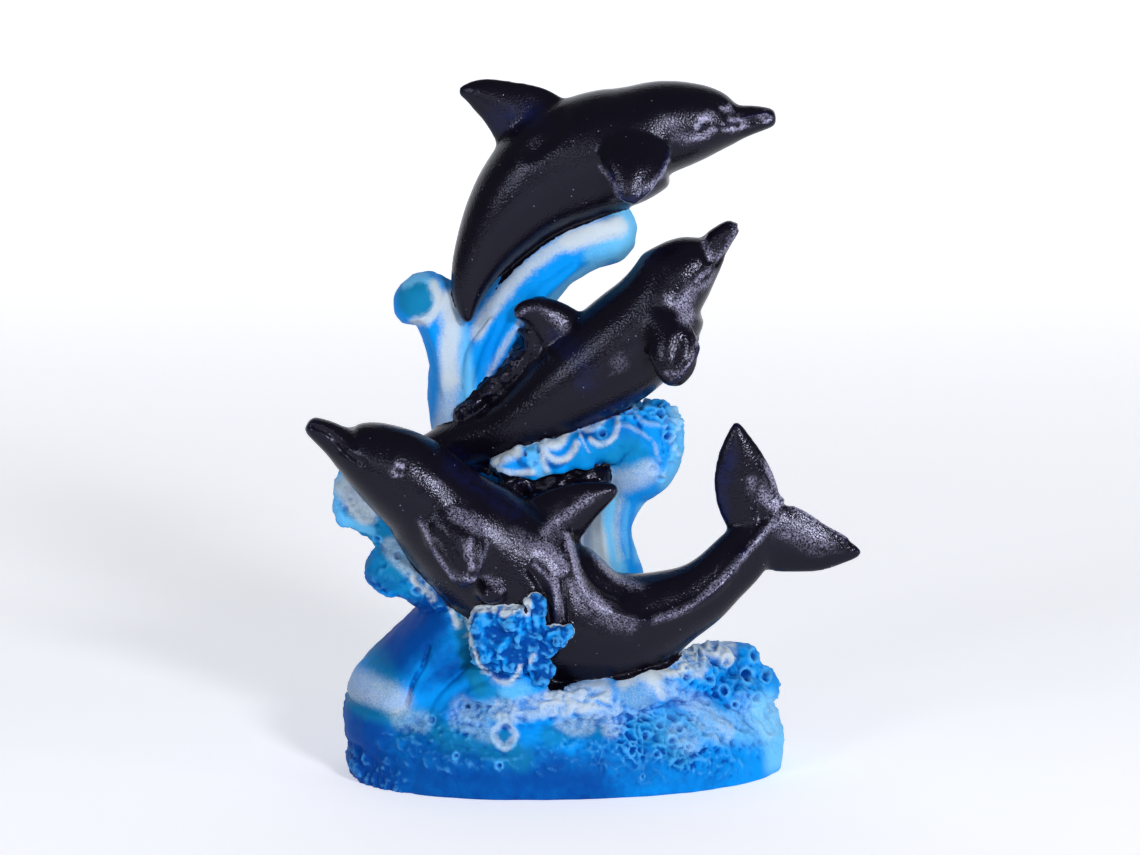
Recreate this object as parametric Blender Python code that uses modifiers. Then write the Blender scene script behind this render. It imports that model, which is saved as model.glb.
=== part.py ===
"""Cast resin figurine: three dolphins leap over curling waves that rise from an oval sea base.

The whole thing is one casting, so it is one object. Each dolphin, fin, wave and lump of foam is a
closed form swept along its own line. The forms are fused into one skin, thinned to a few thousand
faces and cut flat below. +X runs to the right of the front view, -Y to the front, +Z up, and the
origin is the middle of the flat underside.
"""

import math

import bmesh
import bpy
import numpy as np

# Driving dimensions, in metres. The base is turned a few degrees and is a little squarer than an oval.
FIGURE_HEIGHT = 0.1245
BASE_WIDTH = 0.0795
BASE_DEPTH = 0.0510
BASE_THICKNESS = 0.0165
BASE_TURN = 7.0
BASE_FULLNESS = 0.90

# The figure is drawn on a sheet where it stands 124.5 units tall, and its pose follows its height.
SHEET_HEIGHT = 124.5
UNIT = FIGURE_HEIGHT / SHEET_HEIGHT

# Fineness of the fused skin.
SKIN_VOXEL = 0.0008
SKIN_FACES = 9400
RING_POINTS = 20
RING_SPACING = 1.2
FIN_EDGE = 1.45

# A dolphin's head from the beak's tip back to the neck: distance, half height above the line of the
# body, half height below it and half width, in sheet units. The melon is the step behind the beak.
HEAD = (
    (0.0, 1.2, 1.2, 1.4),
    (0.7, 1.8, 1.7, 2.0),
    (2.3, 2.3, 2.1, 2.3),
    (4.4, 2.8, 2.6, 2.6),
    (6.5, 3.1, 3.2, 3.0),
    (8.0, 5.0, 3.8, 4.3),
    (10.3, 6.6, 4.6, 5.4),
    (13.0, 7.7, 5.6, 6.3),
    (16.2, 8.6, 6.6, 7.0),
    (19.0, 9.0, 7.4, 7.5),
    (22.0, 9.2, 8.3, 8.0),
)


def smooth_rows(rows, spacing):
    """Rows of numbers whose first three are a place, resampled along a smooth curve through them."""
    points = np.array(rows, float)
    count = len(points)
    if count == 2:
        points = np.array([points[0], (points[0] + points[1]) / 2, points[1]])
        count = 3
    before = 2 * points[0] - points[1]
    after = 2 * points[-1] - points[-2]
    padded = np.vstack([before, points, after])
    made = []
    for i in range(count - 1):
        a, b, c, d = padded[i : i + 4]
        length = np.linalg.norm(c[:3] - b[:3])
        steps = max(2, math.ceil(length / spacing))
        for k in range(steps):
            t = k / steps
            made.append(
                0.5 * (2 * b + (c - a) * t + (2 * a - 5 * b + 4 * c - d) * t**2 + (3 * b - a - 3 * c + d) * t**3)
            )
    made.append(points[-1])
    return np.array(made)


def frames(places, dorsal):
    """The unit vectors across a line at each place: towards the back of the form, and sideways."""
    tangents = np.gradient(places, axis=0)
    tangents /= np.linalg.norm(tangents, axis=1)[:, None]
    side = np.zeros_like(tangents)
    side[:, 1] = 1.0
    side -= tangents * np.sum(tangents * side, axis=1)[:, None]
    side /= np.linalg.norm(side, axis=1)[:, None]
    back = np.cross(tangents, side) * dorsal
    return back, side


def skin_from_rings(name, rings):
    """A closed form from rings of places, with a flat cap at each end."""
    skin = bmesh.new()
    made = [[skin.verts.new(place) for place in ring] for ring in rings]
    count = len(rings[0])
    for lower, upper in zip(made, made[1:]):
        for k in range(count):
            n = (k + 1) % count
            skin.faces.new((lower[k], lower[n], upper[n], upper[k]))
    skin.faces.new(made[0])
    skin.faces.new(made[-1])
    bmesh.ops.recalc_face_normals(skin, faces=skin.faces)
    mesh = bpy.data.meshes.new(name)
    skin.to_mesh(mesh)
    skin.free()
    form = bpy.data.objects.new(name, mesh)
    forms.objects.link(form)


def sweep(name, rows, dorsal=1, edge=1.0):
    """A closed form swept along a line. A row is x, y, z, half height and half depth in sheet units,
    or x, y, z, half height above, half height below and half depth. The height lies across the line
    in the plane of the front view and the depth along Y. An edge above 1 sharpens the section."""
    rows = [row if len(row) == 6 else (*row[:4], row[3], row[4]) for row in rows]
    rows = smooth_rows(rows, RING_SPACING)
    back, side = frames(rows[:, :3], dorsal)
    rings = []
    for row, b, s in zip(rows, back, side):
        ring = []
        for k in range(RING_POINTS):
            phi = 2 * math.pi * k / RING_POINTS
            up = math.cos(phi)
            across = math.copysign(abs(math.sin(phi)) ** edge, math.sin(phi))
            half = row[3] if up > 0 else row[4]
            place = row[:3] + b * max(half, 0.05) * up + s * max(row[5], 0.05) * across
            ring.append(place * UNIT)
        rings.append(ring)
    skin_from_rings(name, rings)


def dolphin(name, spine, dorsal, size=1.0):
    """A dolphin's body: the common head on the straight run from the beak's tip to the neck, then
    the rows of the spine."""
    tip = np.array(spine[0])
    neck = np.array(spine[1][:3])
    length = np.linalg.norm(neck - tip)
    along = (neck - tip) / length
    head = [
        (*(tip + along * d * size), u * size, v * size, w * size)
        for d, u, v, w in HEAD
        if d * size < length - RING_SPACING
    ]
    sweep(name, [*head, *spine[1:]], dorsal)


def fin(name, rows):
    """A fin, paddle or fluke: x, y, z, half its chord and half its thickness."""
    sweep(name, rows, edge=FIN_EDGE)


def lobe(name, start, end, half, depth):
    """A sausage of foam with round ends."""
    start = np.array(start)
    end = np.array(end)
    along = (end - start) / np.linalg.norm(end - start)
    rows = (
        (*(start - along * half * 0.85), half * 0.30, depth * 0.30),
        (*(start - along * half * 0.50), half * 0.86, depth * 0.86),
        (*start, half, depth),
        (*end, half, depth),
        (*(end + along * half * 0.50), half * 0.86, depth * 0.86),
        (*(end + along * half * 0.85), half * 0.30, depth * 0.30),
    )
    sweep(name, rows)


def ridge(name, half, depth, places):
    """A swell or flute of water that thins out at both ends."""
    rows = [(*place, half, depth) for place in places]
    rows[0] = (*places[0], half * 0.45, depth * 0.45)
    rows[-1] = (*places[-1], half * 0.45, depth * 0.45)
    sweep(name, rows)


def sea_base():
    """The oval base: a stack of outlines that draw in towards the top."""
    profile = (
        (-0.12, 0.99),
        (0.00, 0.995),
        (0.15, 1.005),
        (0.35, 1.00),
        (0.55, 0.975),
        (0.72, 0.93),
        (0.86, 0.85),
        (0.95, 0.74),
        (1.00, 0.55),
        (1.02, 0.28),
    )
    around = 72
    yaw = math.radians(BASE_TURN)
    rings = []
    for height, share in profile:
        ring = []
        for k in range(around):
            phi = 2 * math.pi * k / around
            across = math.copysign(abs(math.cos(phi)) ** BASE_FULLNESS, math.cos(phi)) * BASE_WIDTH / 2
            deep = math.copysign(abs(math.sin(phi)) ** BASE_FULLNESS, math.sin(phi)) * BASE_DEPTH / 2
            x = across * math.cos(yaw) - deep * math.sin(yaw)
            y = across * math.sin(yaw) + deep * math.cos(yaw)
            ring.append((x * share, y * share, height * BASE_THICKNESS))
        rings.append(ring)
    skin_from_rings("sea_base", rings)


def lower_dolphin():
    """The front dolphin rides the base with its head to the left and its flukes to the right."""
    dolphin(
        "lower_body",
        (
            (-45.1, -18.0, 65.4),
            (-24.6, -15.0, 52.1, 8.9, 8.2),
            (-20.1, -14.2, 47.2, 10.2, 9.0),
            (-13.9, -13.2, 42.0, 11.6, 9.8),
            (-6.4, -12.5, 35.0, 12.0, 10.2),
            (1.6, -12.0, 29.3, 11.8, 10.2),
            (8.0, -12.0, 27.9, 10.6, 9.4),
            (13.7, -11.5, 29.1, 9.0, 8.0),
            (19.4, -11.0, 31.6, 7.0, 6.0),
            (23.6, -10.5, 34.0, 5.7, 6.3, 4.6),
            (27.0, -10.0, 36.8, 5.0, 5.7, 3.8),
            (31.4, -9.0, 41.0, 4.8, 5.4, 3.0),
            (35.4, -8.0, 45.2, 3.6, 2.2),
        ),
        dorsal=1,
    )
    fin(
        "lower_dorsal_fin",
        (
            (-6.0, -12.3, 43.0, 7.5, 3.2),
            (-1.5, -12.2, 47.4, 6.0, 2.6),
            (2.6, -12.0, 50.2, 4.3, 2.1),
            (5.6, -12.0, 51.6, 3.0, 1.8),
            (7.6, -12.0, 52.4, 2.0, 1.5),
            (9.2, -12.0, 52.9, 1.0, 1.1),
        ),
    )
    fin(
        "lower_near_paddle",
        (
            (-22.0, -19.8, 51.0, 4.0, 2.6),
            (-20.6, -22.6, 47.8, 4.6, 2.2),
            (-18.6, -24.2, 44.4, 4.9, 1.8),
            (-17.8, -25.0, 41.4, 3.5, 1.5),
            (-17.4, -25.2, 39.0, 2.2, 1.2),
            (-17.1, -25.2, 37.4, 1.0, 0.9),
        ),
    )
    fin(
        "lower_far_paddle",
        (
            (-13.0, -18.0, 37.8, 3.4, 3.4),
            (-13.0, -21.6, 36.8, 3.1, 2.6),
            (-12.8, -24.2, 35.4, 2.0, 1.4),
        ),
    )
    fin(
        "lower_up_fluke",
        (
            (34.4, -8.0, 44.0, 4.6, 2.2),
            (32.6, -8.0, 49.8, 5.9, 2.0),
            (31.4, -8.0, 54.8, 5.5, 1.7),
            (30.7, -8.0, 59.2, 3.9, 1.4),
            (30.3, -8.0, 63.0, 1.6, 1.0),
            (30.2, -8.0, 64.4, 0.6, 0.6),
        ),
    )
    fin(
        "lower_right_fluke",
        (
            (33.6, -8.0, 44.0, 5.2, 2.2),
            (38.8, -8.2, 43.1, 6.3, 2.0),
            (44.6, -8.4, 41.6, 4.7, 1.7),
            (48.8, -8.6, 41.2, 3.0, 1.4),
            (51.6, -8.8, 40.9, 1.5, 1.0),
            (52.7, -8.8, 40.8, 0.6, 0.6),
        ),
    )


def middle_dolphin():
    """The middle dolphin leaps to the right out of the foam behind the front one."""
    dolphin(
        "middle_body",
        (
            (30.0, -6.5, 99.3),
            (18.2, -4.6, 86.8, 7.9, 7.4),
            (14.6, -4.2, 81.5, 9.2, 8.2),
            (8.8, -3.8, 76.0, 9.6, 8.6),
            (0.8, -3.2, 70.2, 8.4, 8.0),
            (-6.3, -2.6, 64.8, 6.6, 6.8),
            (-12.5, -1.6, 61.2, 5.2, 5.6),
            (-20.5, 1.0, 58.8, 4.2, 4.6),
            (-28.0, 4.0, 55.5, 3.0, 3.4),
        ),
        dorsal=-1,
        size=0.97,
    )
    fin(
        "middle_dorsal_fin",
        (
            (0.8, -3.8, 76.6, 6.0, 3.0),
            (-2.0, -4.2, 80.6, 5.2, 2.6),
            (-4.8, -4.6, 83.0, 3.6, 2.2),
            (-7.4, -4.8, 83.6, 2.3, 1.7),
            (-9.2, -4.8, 83.2, 1.2, 1.2),
        ),
    )
    fin(
        "middle_near_paddle",
        (
            (15.6, -10.4, 82.8, 4.2, 2.4),
            (18.2, -13.2, 79.4, 4.8, 2.2),
            (18.9, -14.6, 76.0, 4.4, 1.9),
            (18.8, -15.2, 73.0, 3.1, 1.5),
            (18.7, -15.4, 71.5, 1.4, 1.0),
        ),
    )
    fin(
        "middle_far_paddle",
        (
            (13.4, 3.0, 81.6, 3.8, 2.4),
            (14.8, 6.0, 77.8, 4.4, 2.0),
            (15.2, 8.0, 73.8, 3.4, 1.6),
            (14.8, 9.0, 70.8, 1.4, 0.9),
        ),
    )


def upper_dolphin():
    """The upper dolphin arches over the crest with its tail still in the wave."""
    dolphin(
        "upper_body",
        (
            (37.1, -3.0, 117.9),
            (15.8, -1.0, 115.0, 9.2, 8.2),
            (10.5, -0.5, 112.8, 10.6, 9.2),
            (4.3, 0.0, 111.0, 11.0, 9.6),
            (-2.0, 0.2, 108.4, 10.8, 9.4),
            (-7.2, 0.0, 104.2, 9.2, 8.6),
            (-11.4, -0.4, 99.2, 7.4, 7.4),
            (-14.6, -1.0, 94.2, 5.5, 5.8),
            (-16.7, -1.8, 89.6, 4.0, 4.4),
            (-17.6, -2.6, 85.6, 2.6, 3.0),
            (-17.6, -3.2, 81.4, 0.8, 1.4),
        ),
        dorsal=-1,
    )
    fin(
        "upper_dorsal_fin",
        (
            (-3.2, 0.2, 111.8, 9.2, 3.4),
            (-6.8, 0.2, 116.6, 7.6, 2.7),
            (-11.6, 0.2, 120.0, 4.9, 2.2),
            (-15.8, 0.2, 121.9, 3.0, 1.6),
            (-19.2, 0.2, 122.5, 0.8, 0.8),
        ),
    )
    fin(
        "upper_near_paddle",
        (
            (12.2, -8.2, 113.4, 6.2, 2.4),
            (11.8, -10.8, 110.4, 6.0, 2.2),
            (11.5, -12.6, 107.2, 4.2, 1.8),
            (11.0, -13.6, 104.8, 2.6, 1.4),
            (10.6, -14.0, 103.4, 1.0, 0.9),
        ),
    )
    fin(
        "upper_far_paddle",
        (
            (9.0, 7.6, 109.0, 4.4, 2.4),
            (7.6, 10.0, 105.6, 4.0, 2.0),
            (6.2, 11.6, 102.4, 2.8, 1.5),
            (5.2, 12.4, 100.2, 1.2, 0.9),
        ),
    )


def waves():
    """The trunk of water behind the dolphins and the crests that curl from it."""
    sweep(
        "trunk",
        (
            (-4.0, 6.0, 6.0, 18.0, 15.0),
            (-5.0, 6.5, 20.0, 15.0, 13.0),
            (-8.5, 6.5, 36.0, 11.0, 11.0),
            (-13.0, 6.4, 50.0, 8.5, 9.5),
            (-17.0, 6.4, 62.0, 7.6, 8.2),
            (-16.5, 6.0, 72.0, 8.4, 7.4),
            (-13.5, 5.6, 79.0, 6.5, 6.8),
        ),
    )
    sweep(
        "right_crest",
        (
            (-15.5, 6.0, 74.0, 7.0, 7.0),
            (-10.0, 5.0, 83.0, 6.2, 7.0),
            (-3.5, 3.8, 91.0, 5.6, 7.0),
            (3.0, 2.8, 95.4, 5.4, 6.8),
            (8.0, 2.0, 97.4, 5.6, 6.6),
            (10.8, 2.0, 99.0, 3.7, 5.2),
            (12.2, 2.0, 99.6, 1.8, 2.8),
        ),
    )
    sweep(
        "left_crest",
        (
            (-18.6, 5.5, 66.0, 5.4, 6.6),
            (-19.8, 4.8, 73.0, 5.0, 6.2),
            (-21.6, 3.8, 79.6, 4.6, 6.0),
            (-23.6, 3.0, 84.2, 5.0, 6.0),
            (-25.6, 2.4, 85.4, 4.7, 5.8),
            (-26.6, 2.0, 83.2, 4.6, 5.4),
            (-26.6, 1.6, 80.8, 2.8, 4.0),
        ),
    )
    sweep(
        "right_wave_stem",
        (
            (12.0, 4.0, 10.0, 10.0, 9.0),
            (9.8, 3.6, 24.0, 7.6, 7.6),
            (8.0, 3.0, 35.0, 6.0, 6.4),
            (7.2, 2.6, 43.0, 4.8, 5.6),
            (9.4, 2.0, 50.0, 5.2, 6.0),
            (12.2, 1.0, 56.0, 8.0, 8.0),
            (13.8, 0.0, 61.8, 7.6, 7.6),
            (13.4, 0.0, 66.0, 4.0, 4.4),
        ),
    )
    sweep(
        "back_water",
        (
            (3.0, 7.0, 10.0, 15.0, 10.0),
            (2.6, 6.6, 26.0, 9.0, 8.0),
            (1.0, 6.0, 40.0, 8.0, 6.6),
            (1.0, 5.6, 50.0, 10.0, 6.0),
            (1.0, 5.0, 58.0, 12.0, 5.6),
            (-3.0, 4.5, 66.0, 11.0, 5.0),
            (-8.0, 4.0, 74.0, 8.0, 4.4),
        ),
    )
    sweep(
        "water_between",
        (
            (8.0, -4.0, 24.0, 6.0, 6.0),
            (0.0, -4.0, 33.0, 7.0, 6.0),
            (-8.0, -4.0, 41.0, 6.0, 6.0),
            (-16.0, -4.0, 48.0, 4.6, 5.0),
            (-20.0, -4.0, 52.0, 3.0, 4.0),
        ),
    )
    sweep(
        "water_below",
        (
            (-22.0, -9.0, 17.0, 4.0, 6.0),
            (-14.0, -10.0, 18.0, 6.0, 9.0),
            (2.0, -9.0, 16.0, 5.4, 9.0),
            (16.0, -7.0, 18.0, 5.0, 8.0),
            (24.0, -4.0, 18.0, 3.4, 6.0),
        ),
    )
    sweep(
        "foam_fringe",
        (
            (11.5, -3.0, 61.5, 4.4, 5.0),
            (6.1, -4.5, 60.2, 3.8, 5.0),
            (0.7, -6.0, 58.4, 3.4, 4.6),
            (-4.6, -7.0, 57.0, 3.2, 4.2),
            (-9.9, -7.0, 56.2, 2.4, 3.4),
            (-13.6, -6.5, 56.2, 0.8, 1.6),
        ),
    )
    sweep(
        "left_wave",
        (
            (-31.0, -3.0, 4.0, 9.0, 14.0),
            (-28.6, -4.0, 12.0, 11.6, 15.0),
            (-23.3, -5.0, 21.0, 9.4, 14.0),
            (-17.3, -6.0, 29.0, 7.2, 12.0),
            (-12.0, -6.0, 34.0, 5.0, 9.0),
        ),
    )
    sweep(
        "left_curl",
        (
            (-14.0, -6.5, 27.0, 5.0, 9.0),
            (-20.5, -7.5, 34.0, 6.0, 7.4),
            (-27.6, -8.5, 37.6, 5.4, 6.2),
            (-31.6, -8.5, 37.6, 4.9, 5.6),
            (-34.2, -8.5, 37.4, 3.6, 4.4),
            (-35.8, -8.5, 37.2, 1.4, 2.2),
        ),
    )
    sweep(
        "left_slab",
        (
            (-23.0, -7.5, 38.0, 7.0, 6.4),
            (-30.0, -8.0, 47.0, 6.2, 5.6),
            (-35.6, -8.3, 49.8, 5.4, 4.8),
            (-39.0, -8.5, 51.0, 3.6, 3.0),
        ),
    )
    sweep(
        "left_slab_edge",
        (
            (-38.8, -8.5, 45.8, 2.2, 2.4),
            (-38.7, -8.5, 48.6, 2.8, 3.0),
            (-38.6, -8.5, 53.0, 2.5, 2.8),
            (-38.9, -8.5, 56.6, 1.5, 1.6),
        ),
    )


def foam():
    """Lumps of foam: the cluster on the front dolphin's belly and the heap at the base's right end."""
    lobe("cluster_middle", (-12.5, -20.6, 26.8), (-6.4, -21.8, 27.4), 4.6, 3.4)
    lobe("cluster_top", (-14.4, -21.0, 31.2), (-9.0, -22.4, 31.6), 2.6, 2.6)
    lobe("cluster_left", (-14.4, -20.6, 24.6), (-14.6, -20.8, 29.0), 2.4, 2.4)
    lobe("cluster_bottom", (-12.0, -20.6, 23.2), (-8.0, -21.4, 23.0), 2.0, 2.4)
    lobe("cluster_finger", (-6.0, -22.6, 29.0), (-5.2, -23.2, 34.8), 1.7, 1.9)
    lobe("cluster_right", (-5.4, -22.2, 27.4), (-1.6, -23.2, 28.4), 2.3, 2.0)
    lobe("cluster_low", (-6.0, -21.6, 25.0), (-3.9, -22.6, 22.4), 1.9, 2.0)
    lobe("heap_a", (19.0, -10.0, 16.5), (23.0, -8.0, 17.8), 4.2, 4.6)
    lobe("heap_b", (24.0, -3.0, 18.0), (27.0, -2.0, 19.0), 4.2, 5.2)
    lobe("heap_c", (29.0, 1.0, 18.4), (31.4, 1.6, 18.2), 4.2, 5.4)
    lobe("heap_d", (33.4, 0.0, 14.6), (34.2, 3.0, 14.4), 3.8, 5.0)
    lobe("heap_e", (29.0, -7.0, 13.6), (32.0, -5.0, 12.6), 4.4, 4.6)
    lobe("heap_f", (22.0, 7.0, 15.0), (28.0, 8.0, 14.6), 4.2, 5.4)
    lobe("corner_lump", (-37.0, -9.0, 2.4), (-35.4, -12.5, 2.2), 2.1, 2.4)
    lobe("cluster_foot", (-15.0, -18.4, 18.6), (-6.0, -19.0, 18.6), 3.6, 4.0)
    lobe("fringe_a", (11.0, -5.8, 62.4), (13.6, -5.6, 58.8), 2.2, 2.2)
    lobe("fringe_b", (7.2, -6.6, 61.8), (8.0, -7.2, 58.4), 2.0, 2.0)
    lobe("fringe_c", (2.6, -7.8, 60.4), (3.2, -8.4, 57.0), 1.9, 2.0)
    lobe("fringe_d", (-1.8, -8.6, 59.2), (-1.2, -9.2, 56.2), 1.8, 2.0)
    lobe("fringe_e", (-6.0, -9.0, 58.0), (-5.8, -9.6, 55.6), 1.7, 1.8)
    lobe("fringe_f", (-10.0, -9.2, 57.0), (-10.4, -9.6, 55.4), 1.4, 1.5)
    lobe("dark_a", (5.6, -5.4, 53.6), (2.2, -5.4, 54.8), 2.6, 3.4)
    lobe("dark_b", (-0.6, -5.6, 53.6), (-4.0, -6.0, 53.4), 2.6, 3.4)
    lobe("dark_c", (-6.6, -6.4, 53.2), (-10.0, -7.0, 53.0), 2.6, 3.4)
    lobe("strip_top", (-6.4, -3.8, 79.6), (-6.0, -3.6, 77.4), 1.5, 2.2)
    lobe("strip_a", (-4.6, -3.4, 76.6), (-7.4, -2.8, 74.8), 2.0, 2.6)
    lobe("strip_b", (-9.0, -2.6, 73.4), (-10.8, -2.2, 71.4), 1.9, 2.6)
    lobe("strip_c", (-12.2, -2.0, 70.2), (-14.2, -1.6, 68.8), 1.8, 2.6)
    lobe("strip_d", (-15.8, -1.2, 67.2), (-18.6, -0.6, 64.6), 1.7, 2.4)


def ripples():
    """Swells and ridges of water that run over the base and up the backs of the waves."""
    ridge(
        "front_swell",
        3.8,
        5.0,
        (
            (-23.0, -15.5, 9.0),
            (-11.0, -18.6, 13.2),
            (0.0, -19.0, 15.2),
            (9.0, -17.6, 16.6),
            (16.0, -14.0, 18.2),
            (22.0, -9.0, 18.6),
            (28.0, -5.0, 17.0),
        ),
    )
    ridge(
        "front_knob",
        1.8,
        1.8,
        (
            (2.6, -21.0, 18.0),
            (5.4, -21.0, 18.2),
        ),
    )
    ridge(
        "low_swell",
        3.0,
        3.0,
        (
            (12.0, -20.5, 8.0),
            (22.0, -17.5, 9.0),
            (31.0, -11.0, 7.6),
        ),
    )
    ridge(
        "left_furrow",
        2.2,
        2.2,
        (
            (-9.0, -17.0, 24.0),
            (-16.0, -18.5, 20.0),
            (-22.0, -18.5, 14.0),
            (-25.0, -17.5, 9.0),
        ),
    )
    ridge(
        "left_swell",
        2.6,
        2.4,
        (
            (-14.0, -15.5, 27.5),
            (-22.0, -16.0, 22.5),
            (-29.0, -15.0, 15.0),
            (-32.0, -14.0, 9.0),
        ),
    )
    ridge(
        "column_flute_a",
        1.5,
        1.3,
        (
            (-13.0, -0.8, 66.0),
            (-11.4, -1.4, 76.0),
            (-6.0, -2.2, 85.0),
            (2.0, -3.4, 92.0),
        ),
    )
    ridge(
        "column_flute_b",
        1.4,
        1.2,
        (
            (-18.0, -1.2, 64.0),
            (-17.0, -1.6, 74.0),
            (-13.0, -2.0, 82.0),
        ),
    )
    ridge(
        "column_flute_c",
        1.4,
        1.4,
        (
            (-21.4, 0.4, 66.0),
            (-22.4, -0.8, 76.0),
            (-25.0, -2.2, 82.0),
        ),
    )
    ridge(
        "back_flute_a",
        1.8,
        1.6,
        (
            (2.0, 18.6, 14.0),
            (-2.0, 17.6, 28.0),
            (-8.0, 15.6, 42.0),
            (-14.0, 13.2, 58.0),
            (-14.0, 11.4, 72.0),
        ),
    )
    ridge(
        "back_flute_b",
        1.8,
        1.6,
        (
            (-14.0, 17.6, 14.0),
            (-14.0, 15.6, 30.0),
            (-16.4, 14.2, 46.0),
            (-19.6, 12.4, 62.0),
            (-20.4, 10.4, 76.0),
        ),
    )


def painted_resin():
    """The painted casting's overall colour, the blue of the waves."""
    material = bpy.data.materials.new("painted_resin")
    material.use_nodes = True
    shader = material.node_tree.nodes["Principled BSDF"]
    shader.inputs["Base Color"].default_value = (0.02, 0.16, 0.55, 1.0)
    shader.inputs["Roughness"].default_value = 0.42
    shader.inputs["Metallic"].default_value = 0.0
    return material


def fuse():
    """Joins the forms into one skin, thins it and cuts it flat below."""
    joined = bmesh.new()
    for form in list(forms.objects):
        joined.from_mesh(form.data)
        bpy.data.objects.remove(form)
    mesh = bpy.data.meshes.new("dolphin_figurine")
    joined.to_mesh(mesh)
    joined.free()
    casting = bpy.data.objects.new("dolphin_figurine", mesh)
    figure.objects.link(casting)
    casting.data.materials.append(painted_resin())

    skin = casting.modifiers.new("Fused skin", "REMESH")
    skin.mode = "VOXEL"
    skin.voxel_size = SKIN_VOXEL
    skin.use_smooth_shade = True
    soften = casting.modifiers.new("Softened seams", "SMOOTH")
    soften.factor = 0.5
    soften.iterations = 3

    thinned = bpy.data.meshes.new_from_object(
        casting.evaluated_get(bpy.context.evaluated_depsgraph_get())
    )
    casting.modifiers.clear()
    casting.data = thinned
    faces = sum(len(face.vertices) - 2 for face in thinned.polygons)
    thin = casting.modifiers.new("Thinned skin", "DECIMATE")
    thin.ratio = SKIN_FACES / faces

    bpy.ops.mesh.primitive_cube_add(size=1.0)
    below = bpy.context.object
    below.name = "floor_cutter"
    below.scale = (2 * BASE_WIDTH, 2 * BASE_WIDTH, BASE_THICKNESS)
    below.location = (0.0, 0.0, -BASE_THICKNESS / 2)
    for collection in list(below.users_collection):
        collection.objects.unlink(below)
    cutters.objects.link(below)
    below.hide_render = True
    below.display_type = "WIRE"
    cut = casting.modifiers.new("Flat underside", "BOOLEAN")
    cut.operation = "DIFFERENCE"
    cut.object = below
    return casting


for old in list(bpy.data.objects):
    bpy.data.objects.remove(old)
figure = bpy.data.collections.new("dolphin_figurine")
forms = bpy.data.collections.new("forms")
cutters = bpy.data.collections.new("cutters")
for collection in (figure, forms, cutters):
    bpy.context.scene.collection.children.link(collection)

sea_base()
lower_dolphin()
middle_dolphin()
upper_dolphin()
waves()
foam()
ripples()
fuse()
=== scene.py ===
import math

import bmesh
import bpy
import numpy as np
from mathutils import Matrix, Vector


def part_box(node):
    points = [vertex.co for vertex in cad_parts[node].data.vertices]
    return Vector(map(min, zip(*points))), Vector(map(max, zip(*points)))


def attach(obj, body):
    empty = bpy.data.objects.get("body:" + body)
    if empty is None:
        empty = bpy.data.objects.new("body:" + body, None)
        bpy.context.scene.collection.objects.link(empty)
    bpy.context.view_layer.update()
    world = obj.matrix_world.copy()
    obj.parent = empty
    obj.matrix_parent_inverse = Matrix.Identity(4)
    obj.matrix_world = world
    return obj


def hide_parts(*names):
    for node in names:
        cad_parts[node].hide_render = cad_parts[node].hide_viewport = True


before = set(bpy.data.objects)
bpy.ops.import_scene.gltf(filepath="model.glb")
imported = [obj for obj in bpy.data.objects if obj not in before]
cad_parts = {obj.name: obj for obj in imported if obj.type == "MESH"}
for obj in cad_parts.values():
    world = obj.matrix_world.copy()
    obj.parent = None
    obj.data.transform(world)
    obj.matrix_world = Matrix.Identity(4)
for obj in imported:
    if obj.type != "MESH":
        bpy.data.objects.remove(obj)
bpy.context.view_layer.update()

# The room: a pale floor that runs back into a pale wall and glows a little more from GLOW_START to GLOW_END,
# in metres behind the figurine, soft lamps, and a camera that looks down a little on the figurine.
CAMERA_RISE = math.radians(8.0)
CAMERA_DISTANCE = 0.570
LOOK_AT = Vector((0.0007, 0.0, 0.0621))
ROOM_COLOUR = (0.80, 0.81, 0.84, 1.0)
FLOOR_GLOW = 0.52
WALL_GLOW = 0.84
GLOW_START = 0.15
GLOW_END = 1.0
ROOM_HALF_WIDTH = 4.0
FLOOR_FRONT = -3.0
WALL_DISTANCE = 1.6
WALL_CURVE = 0.5
WALL_STEPS = 12
WALL_HEIGHT = 3.0
FLOOR_GAP = 0.00005

scene = bpy.context.scene
scene.view_settings.view_transform = "Standard"

camera = bpy.data.objects.new("camera", bpy.data.cameras.new("camera"))
scene.collection.objects.link(camera)
camera.data.lens = 100.0
camera.data.sensor_width = 36.0
camera.data.clip_start = 0.01
towards_camera = Vector((0.0, -math.cos(CAMERA_RISE), math.sin(CAMERA_RISE)))
camera.location = LOOK_AT + towards_camera * CAMERA_DISTANCE
camera.rotation_euler = towards_camera.to_track_quat("Z", "Y").to_euler()
scene.camera = camera

room_profile = [(FLOOR_FRONT, 0.0)]
for step in range(WALL_STEPS + 1):
    turn = math.pi / 2 * step / WALL_STEPS
    room_profile.append(
        (WALL_DISTANCE + WALL_CURVE * math.sin(turn), WALL_CURVE * (1 - math.cos(turn)))
    )
room_profile.append((WALL_DISTANCE + WALL_CURVE, WALL_HEIGHT))
room_mesh = bmesh.new()
room_rows = [
    [room_mesh.verts.new((x, y, z - FLOOR_GAP)) for x in (-ROOM_HALF_WIDTH, ROOM_HALF_WIDTH)]
    for y, z in room_profile
]
for near, far in zip(room_rows, room_rows[1:]):
    room_mesh.faces.new((near[0], near[1], far[1], far[0]))
floor = bpy.data.objects.new("floor", bpy.data.meshes.new("floor"))
room_mesh.to_mesh(floor.data)
room_mesh.free()
floor.data.shade_smooth()
scene.collection.objects.link(floor)


def fill(tree, node, inputs):
    """Sets each named input of a node to its value, or links it to its socket."""
    for name, value in inputs.items():
        if isinstance(value, bpy.types.NodeSocket):
            tree.links.new(value, node.inputs[name])
        else:
            node.inputs[name].default_value = value


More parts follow.
